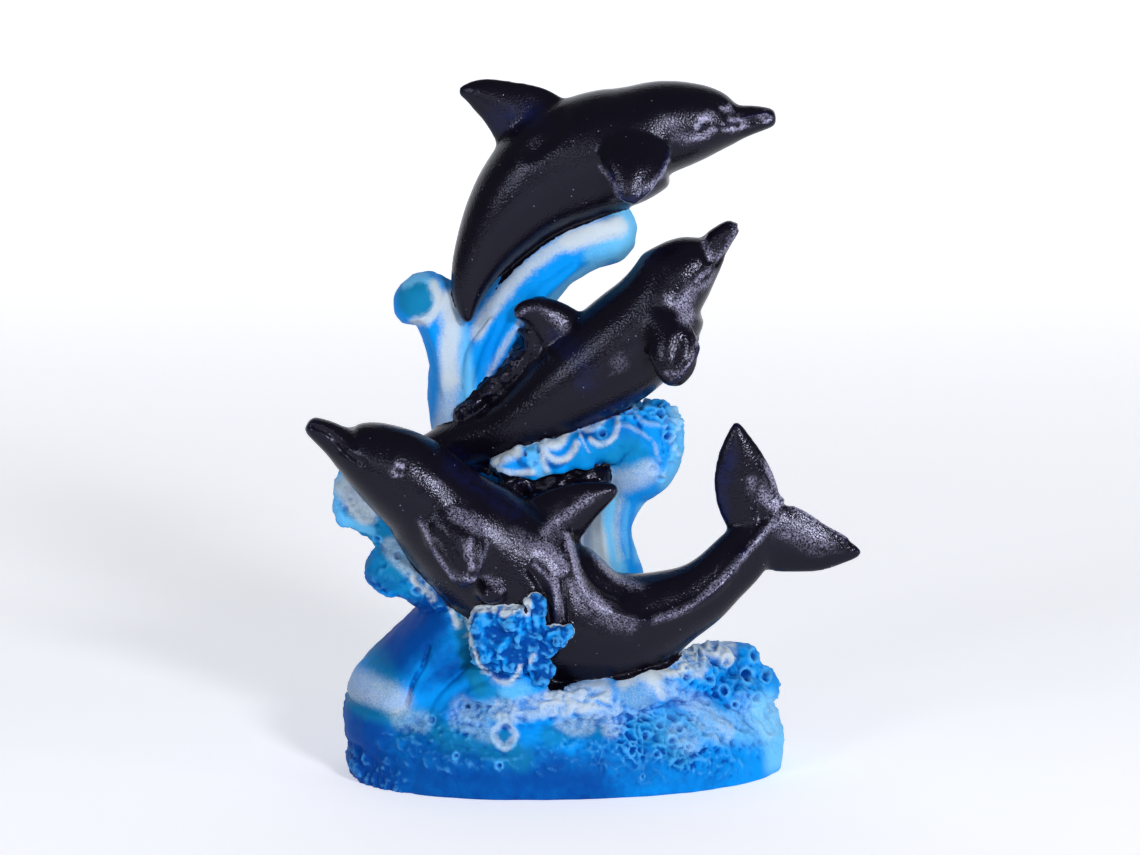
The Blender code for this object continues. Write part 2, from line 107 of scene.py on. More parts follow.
def add_node(tree, kind, inputs=None, **settings):
    """A node of the tree, with its settings and its inputs."""
    made = tree.nodes.new(kind)
    for name, value in settings.items():
        setattr(made, name, value)
    fill(tree, made, inputs or {})
    return made


floor_paint = bpy.data.materials.new("pale_floor")
floor_paint.use_nodes = True
floor_tree = floor_paint.node_tree
floor_place = add_node(floor_tree, "ShaderNodeTexCoord")
floor_depth = add_node(floor_tree, "ShaderNodeSeparateXYZ", {0: floor_place.outputs["Object"]})
floor_glow = add_node(
    floor_tree,
    "ShaderNodeMapRange",
    {
        "Value": floor_depth.outputs["Y"],
        "From Min": GLOW_START,
        "From Max": GLOW_END,
        "To Min": FLOOR_GLOW,
        "To Max": WALL_GLOW,
    },
)
fill(
    floor_tree,
    floor_tree.nodes["Principled BSDF"],
    {
        "Base Color": ROOM_COLOUR,
        "Roughness": 0.9,
        "Specular IOR Level": 0.1,
        "Emission Color": ROOM_COLOUR,
        "Emission Strength": floor_glow.outputs["Result"],
    },
)
floor.data.materials.append(floor_paint)


def lamp(name, place, size, watts, colour):
    """A soft square lamp that faces the figurine."""
    light = bpy.data.lights.new(name, "AREA")
    light.size = size
    light.energy = watts
    light.color = colour
    holder = bpy.data.objects.new(name, light)
    holder.location = place
    holder.rotation_euler = (Vector(place) - LOOK_AT).to_track_quat("Z", "Y").to_euler()
    scene.collection.objects.link(holder)


lamp("key_lamp", (0.40, -0.88, 0.42), 0.15, 6.4, (0.98, 0.97, 1.0))
lamp("right_lamp", (0.95, -0.45, 0.16), 0.14, 1.5, (0.95, 0.97, 1.0))
lamp("left_lamp", (-0.62, -0.8, 0.42), 0.25, 2.2, (0.95, 0.97, 1.0))
lamp("front_lamp", (-0.15, -1.0, 0.3), 0.30, 0.7, (0.97, 0.98, 1.0))

surroundings = bpy.data.worlds.new("surroundings")
surroundings.use_nodes = True
fill(
    surroundings.node_tree,
    surroundings.node_tree.nodes["Background"],
    {"Color": (0.92, 0.94, 1.0, 1.0), "Strength": 0.14},
)
scene.world = surroundings

# The sea base, and with it the way every form of the casting is drawn: on a sheet where the figurine
# stands 124.5 units tall, as a stack of outlines or as a section swept along a line.
SHEET_HEIGHT = 124.5
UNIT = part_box("dolphin_figurine")[1].z / SHEET_HEIGHT
RING_POINTS = 32
RING_SPACING = 0.8
THINNEST = 0.05
BASE_POINTS = 96
BASE_WIDTH = 79.5
BASE_DEPTH = 51.0
BASE_THICKNESS = 16.5
BASE_TURN = math.radians(7.0)
BASE_FULLNESS = 0.90
BASE_PROFILE = (
    (-0.12, 0.99),
    (0.00, 0.995),
    (0.15, 1.005),
    (0.35, 1.00),
    (0.55, 0.975),
    (0.72, 0.93),
    (0.86, 0.85),
    (0.95, 0.74),
    (1.00, 0.55),
    (1.02, 0.28),
)

forms = {}


def smooth_rows(rows, spacing):
    """Rows of numbers whose first three are a place, resampled along a smooth curve through them."""
    points = np.array(rows, float)
    count = len(points)
    if count == 2:
        points = np.array([points[0], (points[0] + points[1]) / 2, points[1]])
        count = 3
    before = 2 * points[0] - points[1]
    after = 2 * points[-1] - points[-2]
    padded = np.vstack([before, points, after])
    made = []
    for i in range(count - 1):
        a, b, c, d = padded[i : i + 4]
        length = np.linalg.norm(c[:3] - b[:3])
        steps = max(2, math.ceil(length / spacing))
        for k in range(steps):
            t = k / steps
            cubic = 3 * b - a - 3 * c + d
            square = 2 * a - 5 * b + 4 * c - d
            made.append(0.5 * (2 * b + (c - a) * t + square * t**2 + cubic * t**3))
    made.append(points[-1])
    return np.array(made)


def add_rings(group, rings):
    """A closed form from rings of places, with a flat cap at each end."""
    around = len(rings[0])
    faces = []
    for r in range(len(rings) - 1):
        for k in range(around):
            n = (k + 1) % around
            faces.append((r * around + k, r * around + n, (r + 1) * around + n, (r + 1) * around + k))
    faces.append(tuple(range(around)))
    faces.append(tuple(range((len(rings) - 1) * around, len(rings) * around)))
    forms.setdefault(group, []).append((np.array(rings).reshape(-1, 3), faces))


def sweep(group, rows, dorsal=1, edge=1.0):
    """A form swept along a line. A row is x, y, z, half height and half depth, or x, y, z, half height
    above, half height below and half depth. An edge above 1 sharpens the section."""
    rows = [row if len(row) == 6 else (*row[:4], row[3], row[4]) for row in rows]
    rows = smooth_rows(rows, RING_SPACING)
    tangents = np.gradient(rows[:, :3], axis=0)
    tangents /= np.linalg.norm(tangents, axis=1)[:, None]
    side = np.zeros_like(tangents)
    side[:, 1] = 1.0
    side -= tangents * np.sum(tangents * side, axis=1)[:, None]
    side /= np.linalg.norm(side, axis=1)[:, None]
    back = np.cross(tangents, side) * dorsal
    rings = []
    for row, b, s in zip(rows, back, side):
        ring = []
        for k in range(RING_POINTS):
            phi = 2 * math.pi * k / RING_POINTS
            up = math.cos(phi)
            across = math.copysign(abs(math.sin(phi)) ** edge, math.sin(phi))
            half = row[3] if up > 0 else row[4]
            ring.append(row[:3] + b * max(half, THINNEST) * up + s * max(row[5], THINNEST) * across)
        rings.append(ring)
    add_rings(group, rings)


base_rings = []
for height, share in BASE_PROFILE:
    ring = []
    for k in range(BASE_POINTS):
        phi = 2 * math.pi * k / BASE_POINTS
        across = math.copysign(abs(math.cos(phi)) ** BASE_FULLNESS, math.cos(phi)) * BASE_WIDTH / 2
        deep = math.copysign(abs(math.sin(phi)) ** BASE_FULLNESS, math.sin(phi)) * BASE_DEPTH / 2
        x = across * math.cos(BASE_TURN) - deep * math.sin(BASE_TURN)
        y = across * math.sin(BASE_TURN) + deep * math.cos(BASE_TURN)
        ring.append((x * share, y * share, height * BASE_THICKNESS))
    base_rings.append(ring)
add_rings("water", base_rings)

# The three dolphins: a body with the same head on each, and thin fins, paddles and flukes. The lower one
# rides the base, the middle one leaps to the right, and the upper one arches over the crest.
FIN_EDGE = 1.45
HEAD = (
    (0.0, 1.2, 1.2, 1.4),
    (0.7, 1.8, 1.7, 2.0),
    (2.3, 2.3, 2.1, 2.3),
    (4.4, 2.8, 2.6, 2.6),
    (6.5, 3.1, 3.2, 3.0),
    (8.0, 5.0, 3.8, 4.3),
    (10.3, 6.6, 4.6, 5.4),
    (13.0, 7.7, 5.6, 6.3),
    (16.2, 8.6, 6.6, 7.0),
    (19.0, 9.0, 7.4, 7.5),
    (22.0, 9.2, 8.3, 8.0),
)
HEAD_CLEARANCE = 1.2


def dolphin(group, spine, dorsal, size=1.0):
    """A body: the common head on the straight run from the beak's tip to the neck, then the spine."""
    tip = np.array(spine[0])
    neck = np.array(spine[1][:3])
    length = np.linalg.norm(neck - tip)
    along = (neck - tip) / length
    head = [
        (*(tip + along * d * size), u * size, v * size, w * size)
        for d, u, v, w in HEAD
        if d * size < length - HEAD_CLEARANCE
    ]
    sweep(group, [*head, *spine[1:]], dorsal)


def fin(group, rows):
    """A fin, paddle or fluke: x, y, z, half its chord and half its thickness."""
    sweep(group, rows, edge=FIN_EDGE)


dolphin(
    "lower",
    (
        (-45.1, -18.0, 65.4),
        (-24.6, -15.0, 52.1, 8.9, 8.2),
        (-20.1, -14.2, 47.2, 10.2, 9.0),
        (-13.9, -13.2, 42.0, 11.6, 9.8),
        (-6.4, -12.5, 35.0, 12.0, 10.2),
        (1.6, -12.0, 29.3, 11.8, 10.2),
        (8.0, -12.0, 27.9, 10.6, 9.4),
        (13.7, -11.5, 29.1, 9.0, 8.0),
        (19.4, -11.0, 31.6, 7.0, 6.0),
        (23.6, -10.5, 34.0, 5.7, 6.3, 4.6),
        (27.0, -10.0, 36.8, 5.0, 5.7, 3.8),
        (31.4, -9.0, 41.0, 4.8, 5.4, 3.0),
        (35.4, -8.0, 45.2, 3.6, 2.2),
    ),
    dorsal=1,
)
fin(
    "lower",
    (
        (-6.0, -12.3, 43.0, 7.5, 3.2),
        (-1.5, -12.2, 47.4, 6.0, 2.6),
        (2.6, -12.0, 50.2, 4.3, 2.1),
        (5.6, -12.0, 51.6, 3.0, 1.8),
        (7.6, -12.0, 52.4, 2.0, 1.5),
        (9.2, -12.0, 52.9, 1.0, 1.1),
    ),
)
fin(
    "lower",
    (
        (-22.0, -19.8, 51.0, 4.0, 2.6),
        (-20.6, -22.6, 47.8, 4.6, 2.2),
        (-18.6, -24.2, 44.4, 4.9, 1.8),
        (-17.8, -25.0, 41.4, 3.5, 1.5),
        (-17.4, -25.2, 39.0, 2.2, 1.2),
        (-17.1, -25.2, 37.4, 1.0, 0.9),
    ),
)
fin(
    "lower",
    (
        (-13.0, -18.0, 37.8, 3.4, 3.4),
        (-13.0, -21.6, 36.8, 3.1, 2.6),
        (-12.8, -24.2, 35.4, 2.0, 1.4),
    ),
)
fin(
    "lower",
    (
        (34.4, -8.0, 44.0, 4.6, 2.2),
        (32.6, -8.0, 49.8, 5.9, 2.0),
        (31.4, -8.0, 54.8, 5.5, 1.7),
        (30.7, -8.0, 59.2, 3.9, 1.4),
        (30.3, -8.0, 63.0, 1.6, 1.0),
        (30.2, -8.0, 64.4, 0.6, 0.6),
    ),
)
fin(
    "lower",
    (
        (33.6, -8.0, 44.0, 5.2, 2.2),
        (38.8, -8.2, 43.1, 6.3, 2.0),
        (44.6, -8.4, 41.6, 4.7, 1.7),
        (48.8, -8.6, 41.2, 3.0, 1.4),
        (51.6, -8.8, 40.9, 1.5, 1.0),
        (52.7, -8.8, 40.8, 0.6, 0.6),
    ),
)

dolphin(
    "middle",
    (
        (30.0, -6.5, 99.3),
        (18.2, -4.6, 86.8, 7.9, 7.4),
        (14.6, -4.2, 81.5, 9.2, 8.2),
        (8.8, -3.8, 76.0, 9.6, 8.6),
        (0.8, -3.2, 70.2, 8.4, 8.0),
        (-6.3, -2.6, 64.8, 6.6, 6.8),
        (-12.5, -1.6, 61.2, 5.2, 5.6),
        (-20.5, 1.0, 58.8, 4.2, 4.6),
        (-28.0, 4.0, 55.5, 3.0, 3.4),
    ),
    dorsal=-1,
    size=0.97,
)
fin(
    "middle",
    (
        (0.8, -3.8, 76.6, 6.0, 3.0),
        (-2.0, -4.2, 80.6, 5.2, 2.6),
        (-4.8, -4.6, 83.0, 3.6, 2.2),
        (-7.4, -4.8, 83.6, 2.3, 1.7),
        (-9.2, -4.8, 83.2, 1.2, 1.2),
    ),
)
fin(
    "middle",
    (
        (15.6, -10.4, 82.8, 4.2, 2.4),
        (18.2, -13.2, 79.4, 4.8, 2.2),
        (18.9, -14.6, 76.0, 4.4, 1.9),
        (18.8, -15.2, 73.0, 3.1, 1.5),
        (18.7, -15.4, 71.5, 1.4, 1.0),
    ),
)
fin(
    "middle",
    (
        (13.4, 3.0, 81.6, 3.8, 2.4),
        (14.8, 6.0, 77.8, 4.4, 2.0),
        (15.2, 8.0, 73.8, 3.4, 1.6),
        (14.8, 9.0, 70.8, 1.4, 0.9),
    ),
)

dolphin(
    "upper",
    (
        (37.1, -3.0, 117.9),
        (15.8, -1.0, 115.0, 9.2, 8.2),
        (10.5, -0.5, 112.8, 10.6, 9.2),
        (4.3, 0.0, 111.0, 11.0, 9.6),
        (-2.0, 0.2, 108.4, 10.8, 9.4),
        (-7.2, 0.0, 104.2, 9.2, 8.6),
        (-11.4, -0.4, 99.2, 7.4, 7.4),
        (-14.6, -1.0, 94.2, 5.5, 5.8),
        (-16.7, -1.8, 89.6, 4.0, 4.4),
        (-17.6, -2.6, 85.6, 2.6, 3.0),
        (-17.6, -3.2, 81.4, 0.8, 1.4),
    ),
    dorsal=-1,
)
fin(
    "upper",
    (
        (-3.2, 0.2, 111.8, 9.2, 3.4),
        (-6.8, 0.2, 116.6, 7.6, 2.7),
        (-11.6, 0.2, 120.0, 4.9, 2.2),
        (-15.8, 0.2, 121.9, 3.0, 1.6),
        (-19.2, 0.2, 122.5, 0.8, 0.8),
    ),
)
fin(
    "upper",
    (
        (12.2, -8.2, 113.4, 6.2, 2.4),
        (11.8, -10.8, 110.4, 6.0, 2.2),
        (11.5, -12.6, 107.2, 4.2, 1.8),
        (11.0, -13.6, 104.8, 2.6, 1.4),
        (10.6, -14.0, 103.4, 1.0, 0.9),
    ),
)
fin(
    "upper",
    (
        (9.0, 7.6, 109.0, 4.4, 2.4),
        (7.6, 10.0, 105.6, 4.0, 2.0),
        (6.2, 11.6, 102.4, 2.8, 1.5),
        (5.2, 12.4, 100.2, 1.2, 0.9),
    ),
)

# The waves: a trunk of water behind the dolphins, the two crests that curl from its top, the wave to the
# right with a fringe of foam, and the hump, curl and slab of water to the left.
sweep(
    "water",
    (
        (-4.0, 6.0, 6.0, 18.0, 15.0),
        (-5.0, 6.5, 20.0, 15.0, 13.0),
        (-8.5, 6.5, 36.0, 11.0, 11.0),
        (-13.0, 6.4, 50.0, 8.5, 9.5),
        (-17.0, 6.4, 62.0, 7.6, 8.2),
        (-16.5, 6.0, 72.0, 8.4, 7.4),
        (-13.5, 5.6, 79.0, 6.5, 6.8),
    ),
)
sweep(
    "water",
    (
        (-15.5, 6.0, 74.0, 7.0, 7.0),
        (-10.0, 5.0, 83.0, 6.2, 7.0),
        (-3.5, 3.8, 91.0, 5.6, 7.0),
        (3.0, 2.8, 95.4, 5.4, 6.8),
        (8.0, 2.0, 97.4, 5.6, 6.6),
        (10.8, 2.0, 99.0, 3.7, 5.2),
        (12.2, 2.0, 99.6, 1.8, 2.8),
    ),
)
sweep(
    "water",
    (
        (-18.6, 5.5, 66.0, 5.4, 6.6),
        (-19.8, 4.8, 73.0, 5.0, 6.2),
        (-21.6, 3.8, 79.6, 4.6, 6.0),
        (-23.6, 3.0, 84.2, 5.0, 6.0),
        (-25.6, 2.4, 85.4, 4.7, 5.8),
        (-26.6, 2.0, 83.2, 4.6, 5.4),
        (-26.6, 1.6, 80.8, 2.8, 4.0),
    ),
)
sweep(
    "water",
    (
        (12.0, 4.0, 10.0, 10.0, 9.0),
        (9.8, 3.6, 24.0, 7.6, 7.6),
        (8.0, 3.0, 35.0, 6.0, 6.4),
        (7.2, 2.6, 43.0, 4.8, 5.6),
        (9.4, 2.0, 50.0, 5.2, 6.0),
        (12.2, 1.0, 56.0, 8.0, 8.0),
        (13.8, 0.0, 61.8, 7.6, 7.6),
        (13.4, 0.0, 66.0, 4.0, 4.4),
    ),
)
sweep(
    "water",
    (
        (3.0, 7.0, 10.0, 15.0, 10.0),
        (2.6, 6.6, 26.0, 9.0, 8.0),
        (1.0, 6.0, 40.0, 8.0, 6.6),
        (1.0, 5.6, 50.0, 10.0, 6.0),
        (1.0, 5.0, 58.0, 12.0, 5.6),
        (-3.0, 4.5, 66.0, 11.0, 5.0),
        (-8.0, 4.0, 74.0, 8.0, 4.4),
    ),
)
sweep(
    "water",
    (
        (8.0, -4.0, 24.0, 6.0, 6.0),
        (0.0, -4.0, 33.0, 7.0, 6.0),
        (-8.0, -4.0, 41.0, 6.0, 6.0),
        (-16.0, -4.0, 48.0, 4.6, 5.0),
        (-20.0, -4.0, 52.0, 3.0, 4.0),
    ),
)
sweep(
    "water",
    (
        (-22.0, -9.0, 17.0, 4.0, 6.0),
        (-14.0, -10.0, 18.0, 6.0, 9.0),
        (2.0, -9.0, 16.0, 5.4, 9.0),
        (16.0, -7.0, 18.0, 5.0, 8.0),
        (24.0, -4.0, 18.0, 3.4, 6.0),
    ),
)
sweep(
    "fringe",
    (
        (11.5, -3.0, 61.5, 4.4, 5.0),
        (6.1, -4.5, 60.2, 3.8, 5.0),
        (0.7, -6.0, 58.4, 3.4, 4.6),
        (-4.6, -7.0, 57.0, 3.2, 4.2),
        (-9.9, -7.0, 56.2, 2.4, 3.4),
        (-13.6, -6.5, 56.2, 0.8, 1.6),
    ),
)
sweep(
    "water",
    (
        (-31.0, -3.0, 4.0, 9.0, 14.0),
        (-28.6, -4.0, 12.0, 11.6, 15.0),
        (-23.3, -5.0, 21.0, 9.4, 14.0),
        (-17.3, -6.0, 29.0, 7.2, 12.0),
        (-12.0, -6.0, 34.0, 5.0, 9.0),
    ),
)
sweep(
    "curl",
    (
        (-14.0, -6.5, 27.0, 5.0, 9.0),
        (-20.5, -7.5, 34.0, 6.0, 7.4),
        (-27.6, -8.5, 37.6, 5.4, 6.2),
        (-31.6, -8.5, 37.6, 4.9, 5.6),
        (-34.2, -8.5, 37.4, 3.6, 4.4),
        (-35.8, -8.5, 37.2, 1.4, 2.2),
    ),
)
sweep(
    "curl",
    (
        (-23.0, -7.5, 38.0, 7.0, 6.4),
        (-30.0, -8.0, 47.0, 6.2, 5.6),
        (-35.6, -8.3, 49.8, 5.4, 4.8),
        (-39.0, -8.5, 51.0, 3.6, 3.0),
    ),
)
sweep(
    "curl",
    (
        (-38.8, -8.5, 45.8, 2.2, 2.4),
        (-38.7, -8.5, 48.6, 2.8, 3.0),
        (-38.6, -8.5, 53.0, 2.5, 2.8),
        (-38.9, -8.5, 56.6, 1.5, 1.6),
    ),
)

# The swells, flutes and ridges of water that run over the base and up the waves. Each thins out to this
# share at both ends.
RIDGE_END = 0.45


def ridge(half, depth, places):
    """A swell or flute of water along places on the sheet."""
    rows = [(*place, half, depth) for place in places]
    for end in (0, -1):
        rows[end] = (*places[end], half * RIDGE_END, depth * RIDGE_END)
    sweep("water", rows)


ridge(
    3.8,
    5.0,
    (
        (-23.0, -15.5, 9.0),
        (-11.0, -18.6, 13.2),
        (0.0, -19.0, 15.2),
        (9.0, -17.6, 16.6),
        (16.0, -14.0, 18.2),
        (22.0, -9.0, 18.6),
        (28.0, -5.0, 17.0),
    ),
)
ridge(1.8, 1.8, ((2.6, -21.0, 18.0), (5.4, -21.0, 18.2)))
ridge(3.0, 3.0, ((12.0, -20.5, 8.0), (22.0, -17.5, 9.0), (31.0, -11.0, 7.6)))
ridge(2.2, 2.2, ((-9.0, -17.0, 24.0), (-16.0, -18.5, 20.0), (-22.0, -18.5, 14.0), (-25.0, -17.5, 9.0)))
ridge(2.6, 2.4, ((-14.0, -15.5, 27.5), (-22.0, -16.0, 22.5), (-29.0, -15.0, 15.0), (-32.0, -14.0, 9.0)))
ridge(1.5, 1.3, ((-13.0, -0.8, 66.0), (-11.4, -1.4, 76.0), (-6.0, -2.2, 85.0), (2.0, -3.4, 92.0)))
ridge(1.4, 1.2, ((-18.0, -1.2, 64.0), (-17.0, -1.6, 74.0), (-13.0, -2.0, 82.0)))
ridge(1.4, 1.4, ((-21.4, 0.4, 66.0), (-22.4, -0.8, 76.0), (-25.0, -2.2, 82.0)))
ridge(
    1.8,
    1.6,
    (
        (2.0, 18.6, 14.0),
        (-2.0, 17.6, 28.0),
        (-8.0, 15.6, 42.0),
        (-14.0, 13.2, 58.0),
        (-14.0, 11.4, 72.0),
    ),
)
ridge(
    1.8,
    1.6,
    (
        (-14.0, 17.6, 14.0),
        (-14.0, 15.6, 30.0),
        (-16.4, 14.2, 46.0),
        (-19.6, 12.4, 62.0),
        (-20.4, 10.4, 76.0),
    ),
)

# The lumps of foam: the cluster under the lower dolphin, the heap at the base's right end, the scalloped
# fringe of the right wave, and the broken foam along the dolphins, which is painted black with them. Three
# lobes of plain water stand among them, one of which covers the blunt end of the middle dolphin's tail.
LOBE_ENDS = ((0.85, 0.30), (0.50, 0.86))


def lobe(group, start, end, half, depth):
    """A sausage of foam with round ends."""
    start = np.array(start)
    end = np.array(end)
    along = (end - start) / np.linalg.norm(end - start)
    first = [(*(start - along * half * out), half * share, depth * share) for out, share in LOBE_ENDS]
    last = [(*(end + along * half * out), half * share, depth * share) for out, share in LOBE_ENDS]
    rows = (*first, (*start, half, depth), (*end, half, depth), *reversed(last))
    sweep(group, rows)


lobe("cluster", (-12.5, -20.6, 26.8), (-6.4, -21.8, 27.4), 4.6, 3.4)
lobe("cluster", (-14.4, -21.0, 31.2), (-9.0, -22.4, 31.6), 2.6, 2.6)
lobe("cluster", (-14.4, -20.6, 24.6), (-14.6, -20.8, 29.0), 2.4, 2.4)
lobe("cluster", (-12.0, -20.6, 23.2), (-8.0, -21.4, 23.0), 2.0, 2.4)
lobe("cluster", (-6.0, -22.6, 29.0), (-5.2, -23.2, 34.8), 1.7, 1.9)
lobe("cluster", (-5.4, -22.2, 27.4), (-1.6, -23.2, 28.4), 2.3, 2.0)
lobe("cluster", (-6.0, -21.6, 25.0), (-3.9, -22.6, 22.4), 1.9, 2.0)
lobe("heap", (19.0, -10.0, 16.5), (23.0, -8.0, 17.8), 4.2, 4.6)
lobe("heap", (24.0, -3.0, 18.0), (27.0, -2.0, 19.0), 4.2, 5.2)
lobe("heap", (29.0, 1.0, 18.4), (31.4, 1.6, 18.2), 4.2, 5.4)
lobe("heap", (33.4, 0.0, 14.6), (34.2, 3.0, 14.4), 3.8, 5.0)
lobe("heap", (29.0, -7.0, 13.6), (32.0, -5.0, 12.6), 4.4, 4.6)
lobe("heap", (22.0, 7.0, 15.0), (28.0, 8.0, 14.6), 4.2, 5.4)
lobe("water", (-37.0, -9.0, 2.4), (-35.4, -12.5, 2.2), 2.1, 2.4)
lobe("water", (-28.0, 4.6, 55.4), (-21.0, 5.6, 55.4), 4.5, 4.7)
lobe("water", (-15.0, -18.4, 18.6), (-6.0, -19.0, 18.6), 3.6, 4.0)
lobe("fringe", (11.0, -5.8, 62.4), (13.6, -5.6, 58.8), 2.2, 2.2)
lobe("fringe", (7.2, -6.6, 61.8), (8.0, -7.2, 58.4), 2.0, 2.0)
lobe("fringe", (2.6, -7.8, 60.4), (3.2, -8.4, 57.0), 1.9, 2.0)
lobe("fringe", (-1.8, -8.6, 59.2), (-1.2, -9.2, 56.2), 1.8, 2.0)
lobe("fringe", (-6.0, -9.0, 58.0), (-5.8, -9.6, 55.6), 1.7, 1.8)
lobe("fringe", (-10.0, -9.2, 57.0), (-10.4, -9.6, 55.4), 1.4, 1.5)
lobe("black_foam", (5.6, -5.4, 53.6), (2.2, -5.4, 54.8), 2.6, 3.4)
lobe("black_foam", (-0.6, -5.6, 53.6), (-4.0, -6.0, 53.4), 2.6, 3.4)
lobe("black_foam", (-6.6, -6.4, 53.2), (-10.0, -7.0, 53.0), 2.6, 3.4)
lobe("black_foam", (-6.4, -3.8, 79.6), (-6.0, -3.6, 77.4), 1.5, 2.2)
lobe("black_foam", (-4.6, -3.4, 76.6), (-7.4, -2.8, 74.8), 2.0, 2.6)
lobe("black_foam", (-9.0, -2.6, 73.4), (-10.8, -2.2, 71.4), 1.9, 2.6)
lobe("black_foam", (-12.2, -2.0, 70.2), (-14.2, -1.6, 68.8), 1.8, 2.6)
lobe("black_foam", (-15.8, -1.2, 67.2), (-18.6, -0.6, 64.6), 1.7, 2.4)

# The bubbles: small beads and open rings of foam that stand on the lumps, scattered over them and fused
# with the rest.
BEAD_SPREAD = 1.5
RING_SPREAD = 2.2
RING_WALL = 0.26
SMALLEST_SHARE = 0.6


def mould(name, group):
    """The forms of a group, as one object."""
    places = []
    faces = []
    count = 0
    for form_places, form_faces in forms[group]:
        places.append(form_places)
        faces.extend(tuple(i + count for i in face) for face in form_faces)
        count += len(form_places)
    mesh = bpy.data.meshes.new(name)
    mesh.from_pydata((np.vstack(places) * UNIT).tolist(), [], faces)
    skin = bmesh.new()
    skin.from_mesh(mesh)
    bmesh.ops.recalc_face_normals(skin, faces=skin.faces)
    skin.to_mesh(mesh)
    skin.free()
    made = bpy.data.objects.new(name, mesh)
    scene.collection.objects.link(made)
    return made


def settle(thing):
    """Turns an object with its modifiers into a plain mesh."""
    graph = bpy.context.evaluated_depsgraph_get()
    mesh = bpy.data.meshes.new_from_object(thing.evaluated_get(graph))
    thing.modifiers.clear()
    thing.data = mesh


def run_nodes(thing, tree, values):
    """Applies a Geometry Nodes tree to an object, with the values of its named inputs."""
    modifier = thing.modifiers.new(tree.name, "NODES")
    modifier.node_group = tree
    for item in tree.interface.items_tree:
        if item.in_out == "INPUT" and item.name in values:
            modifier[item.identifier] = values[item.name]
    settle(thing)


def new_group(name, kind, inputs, output):
    """An empty node group. A socket is a name and a type."""
    tree = bpy.data.node_groups.new(name, kind)
    for in_out, sockets in (("INPUT", inputs), ("OUTPUT", (output,))):
        for label, socket_type in sockets:
            tree.interface.new_socket(label, in_out=in_out, socket_type="NodeSocket" + socket_type)
    return tree


def calculate(tree, operation, *values, **settings):
    """The result of a sum on values or sockets."""
    inputs = dict(enumerate(values))
    return add_node(tree, "ShaderNodeMath", inputs, operation=operation, **settings).outputs[0]


def bubble_tree():
    """Beads and rings scattered over a surface. Sizes are in metres, density in places a square metre."""
    tree = new_group(
        "foam_bubbles",
        "GeometryNodeTree",
        (
            ("Foam", "Geometry"),
            ("Bead Radius", "Float"),
            ("Bead Density", "Float"),
            ("Ring Radius", "Float"),
            ("Ring Density", "Float"),
            ("Seed", "Int"),
            ("Resin", "Material"),
        ),
        ("Foam", "Geometry"),
    )
    inside = add_node(tree, "NodeGroupInput").outputs
    joined = add_node(tree, "GeometryNodeJoinGeometry")
    tree.links.new(inside["Foam"], joined.inputs[0])
    bead = add_node(tree, "GeometryNodeMeshIcoSphere", {"Radius": 1.0, "Subdivisions": 2})
    circle = add_node(tree, "GeometryNodeCurvePrimitiveCircle", {"Resolution": 16, "Radius": 1.0})
    wall = add_node(tree, "GeometryNodeCurvePrimitiveCircle", {"Resolution": 6, "Radius": RING_WALL})
    hoop = add_node(
        tree,
        "GeometryNodeCurveToMesh",
        {"Curve": circle.outputs["Curve"], "Profile Curve": wall.outputs["Curve"]},
    )
    for shape, radius, density, spread in (
        (bead.outputs["Mesh"], "Bead Radius", "Bead Density", BEAD_SPREAD),
        (hoop.outputs["Mesh"], "Ring Radius", "Ring Density", RING_SPREAD),
    ):
        points = add_node(
            tree,
            "GeometryNodeDistributePointsOnFaces",
            {"Mesh": inside["Foam"], "Seed": inside["Seed"]},
            distribute_method="POISSON",
        )
        apart = calculate(tree, "MULTIPLY", inside[radius], spread)
        fill(tree, points, {"Distance Min": apart, "Density Max": inside[density]})
        share = add_node(
            tree,
            "FunctionNodeRandomValue",
            {2: SMALLEST_SHARE, 3: 1.0, "Seed": inside["Seed"]},
            data_type="FLOAT",
        )
        placed = add_node(
            tree,
            "GeometryNodeInstanceOnPoints",
            {
                "Points": points.outputs["Points"],
                "Instance": shape,
                "Rotation": points.outputs["Rotation"],
                "Scale": calculate(tree, "MULTIPLY", share.outputs[1], inside[radius]),
            },
        )
        tree.links.new(placed.outputs[0], joined.inputs[0])
    real = add_node(tree, "GeometryNodeRealizeInstances", {0: joined.outputs[0]})
    painted = add_node(
        tree, "GeometryNodeSetMaterial", {"Geometry": real.outputs[0], "Material": inside["Resin"]}
    )
    add_node(tree, "NodeGroupOutput", {"Foam": painted.outputs[0]})
    return tree


foam_bubbles = bubble_tree()
painted_resin = bpy.data.materials.new("painted_resin_finish")


def foam(name, bead, beads, ring, rings, seed):
    """A lump of foam with beads and rings scattered over it: sizes in metres, places a square metre."""
    lump = mould(name, name)
    values = {
        "Bead Radius": bead,
        "Bead Density": beads,
        "Ring Radius": ring,
        "Ring Density": rings,
        "Seed": seed,
        "Resin": painted_resin,
    }
    run_nodes(lump, foam_bubbles, values)
    return lump


cluster = foam("cluster", 0.0014, 7.0e4, 0.001, 0.0, 3)
heap = foam("heap", 0.0004, 4e4, 0.0011, 4e4, 11)
fringe = foam("fringe", 0.0005, 6e4, 0.001, 0.0, 5)
black_foam = foam("black_foam", 0.0007, 2.5e5, 0.001, 0.0, 9)

# The skin of the casting. Each dolphin is fused and softened first, so that its fins grow out of its body,
# and then everything is fused into one skin.
DOLPHIN_VOXEL = 0.00045
SKIN_VOXEL = 0.00033
DOLPHIN_SOFTENING = 6


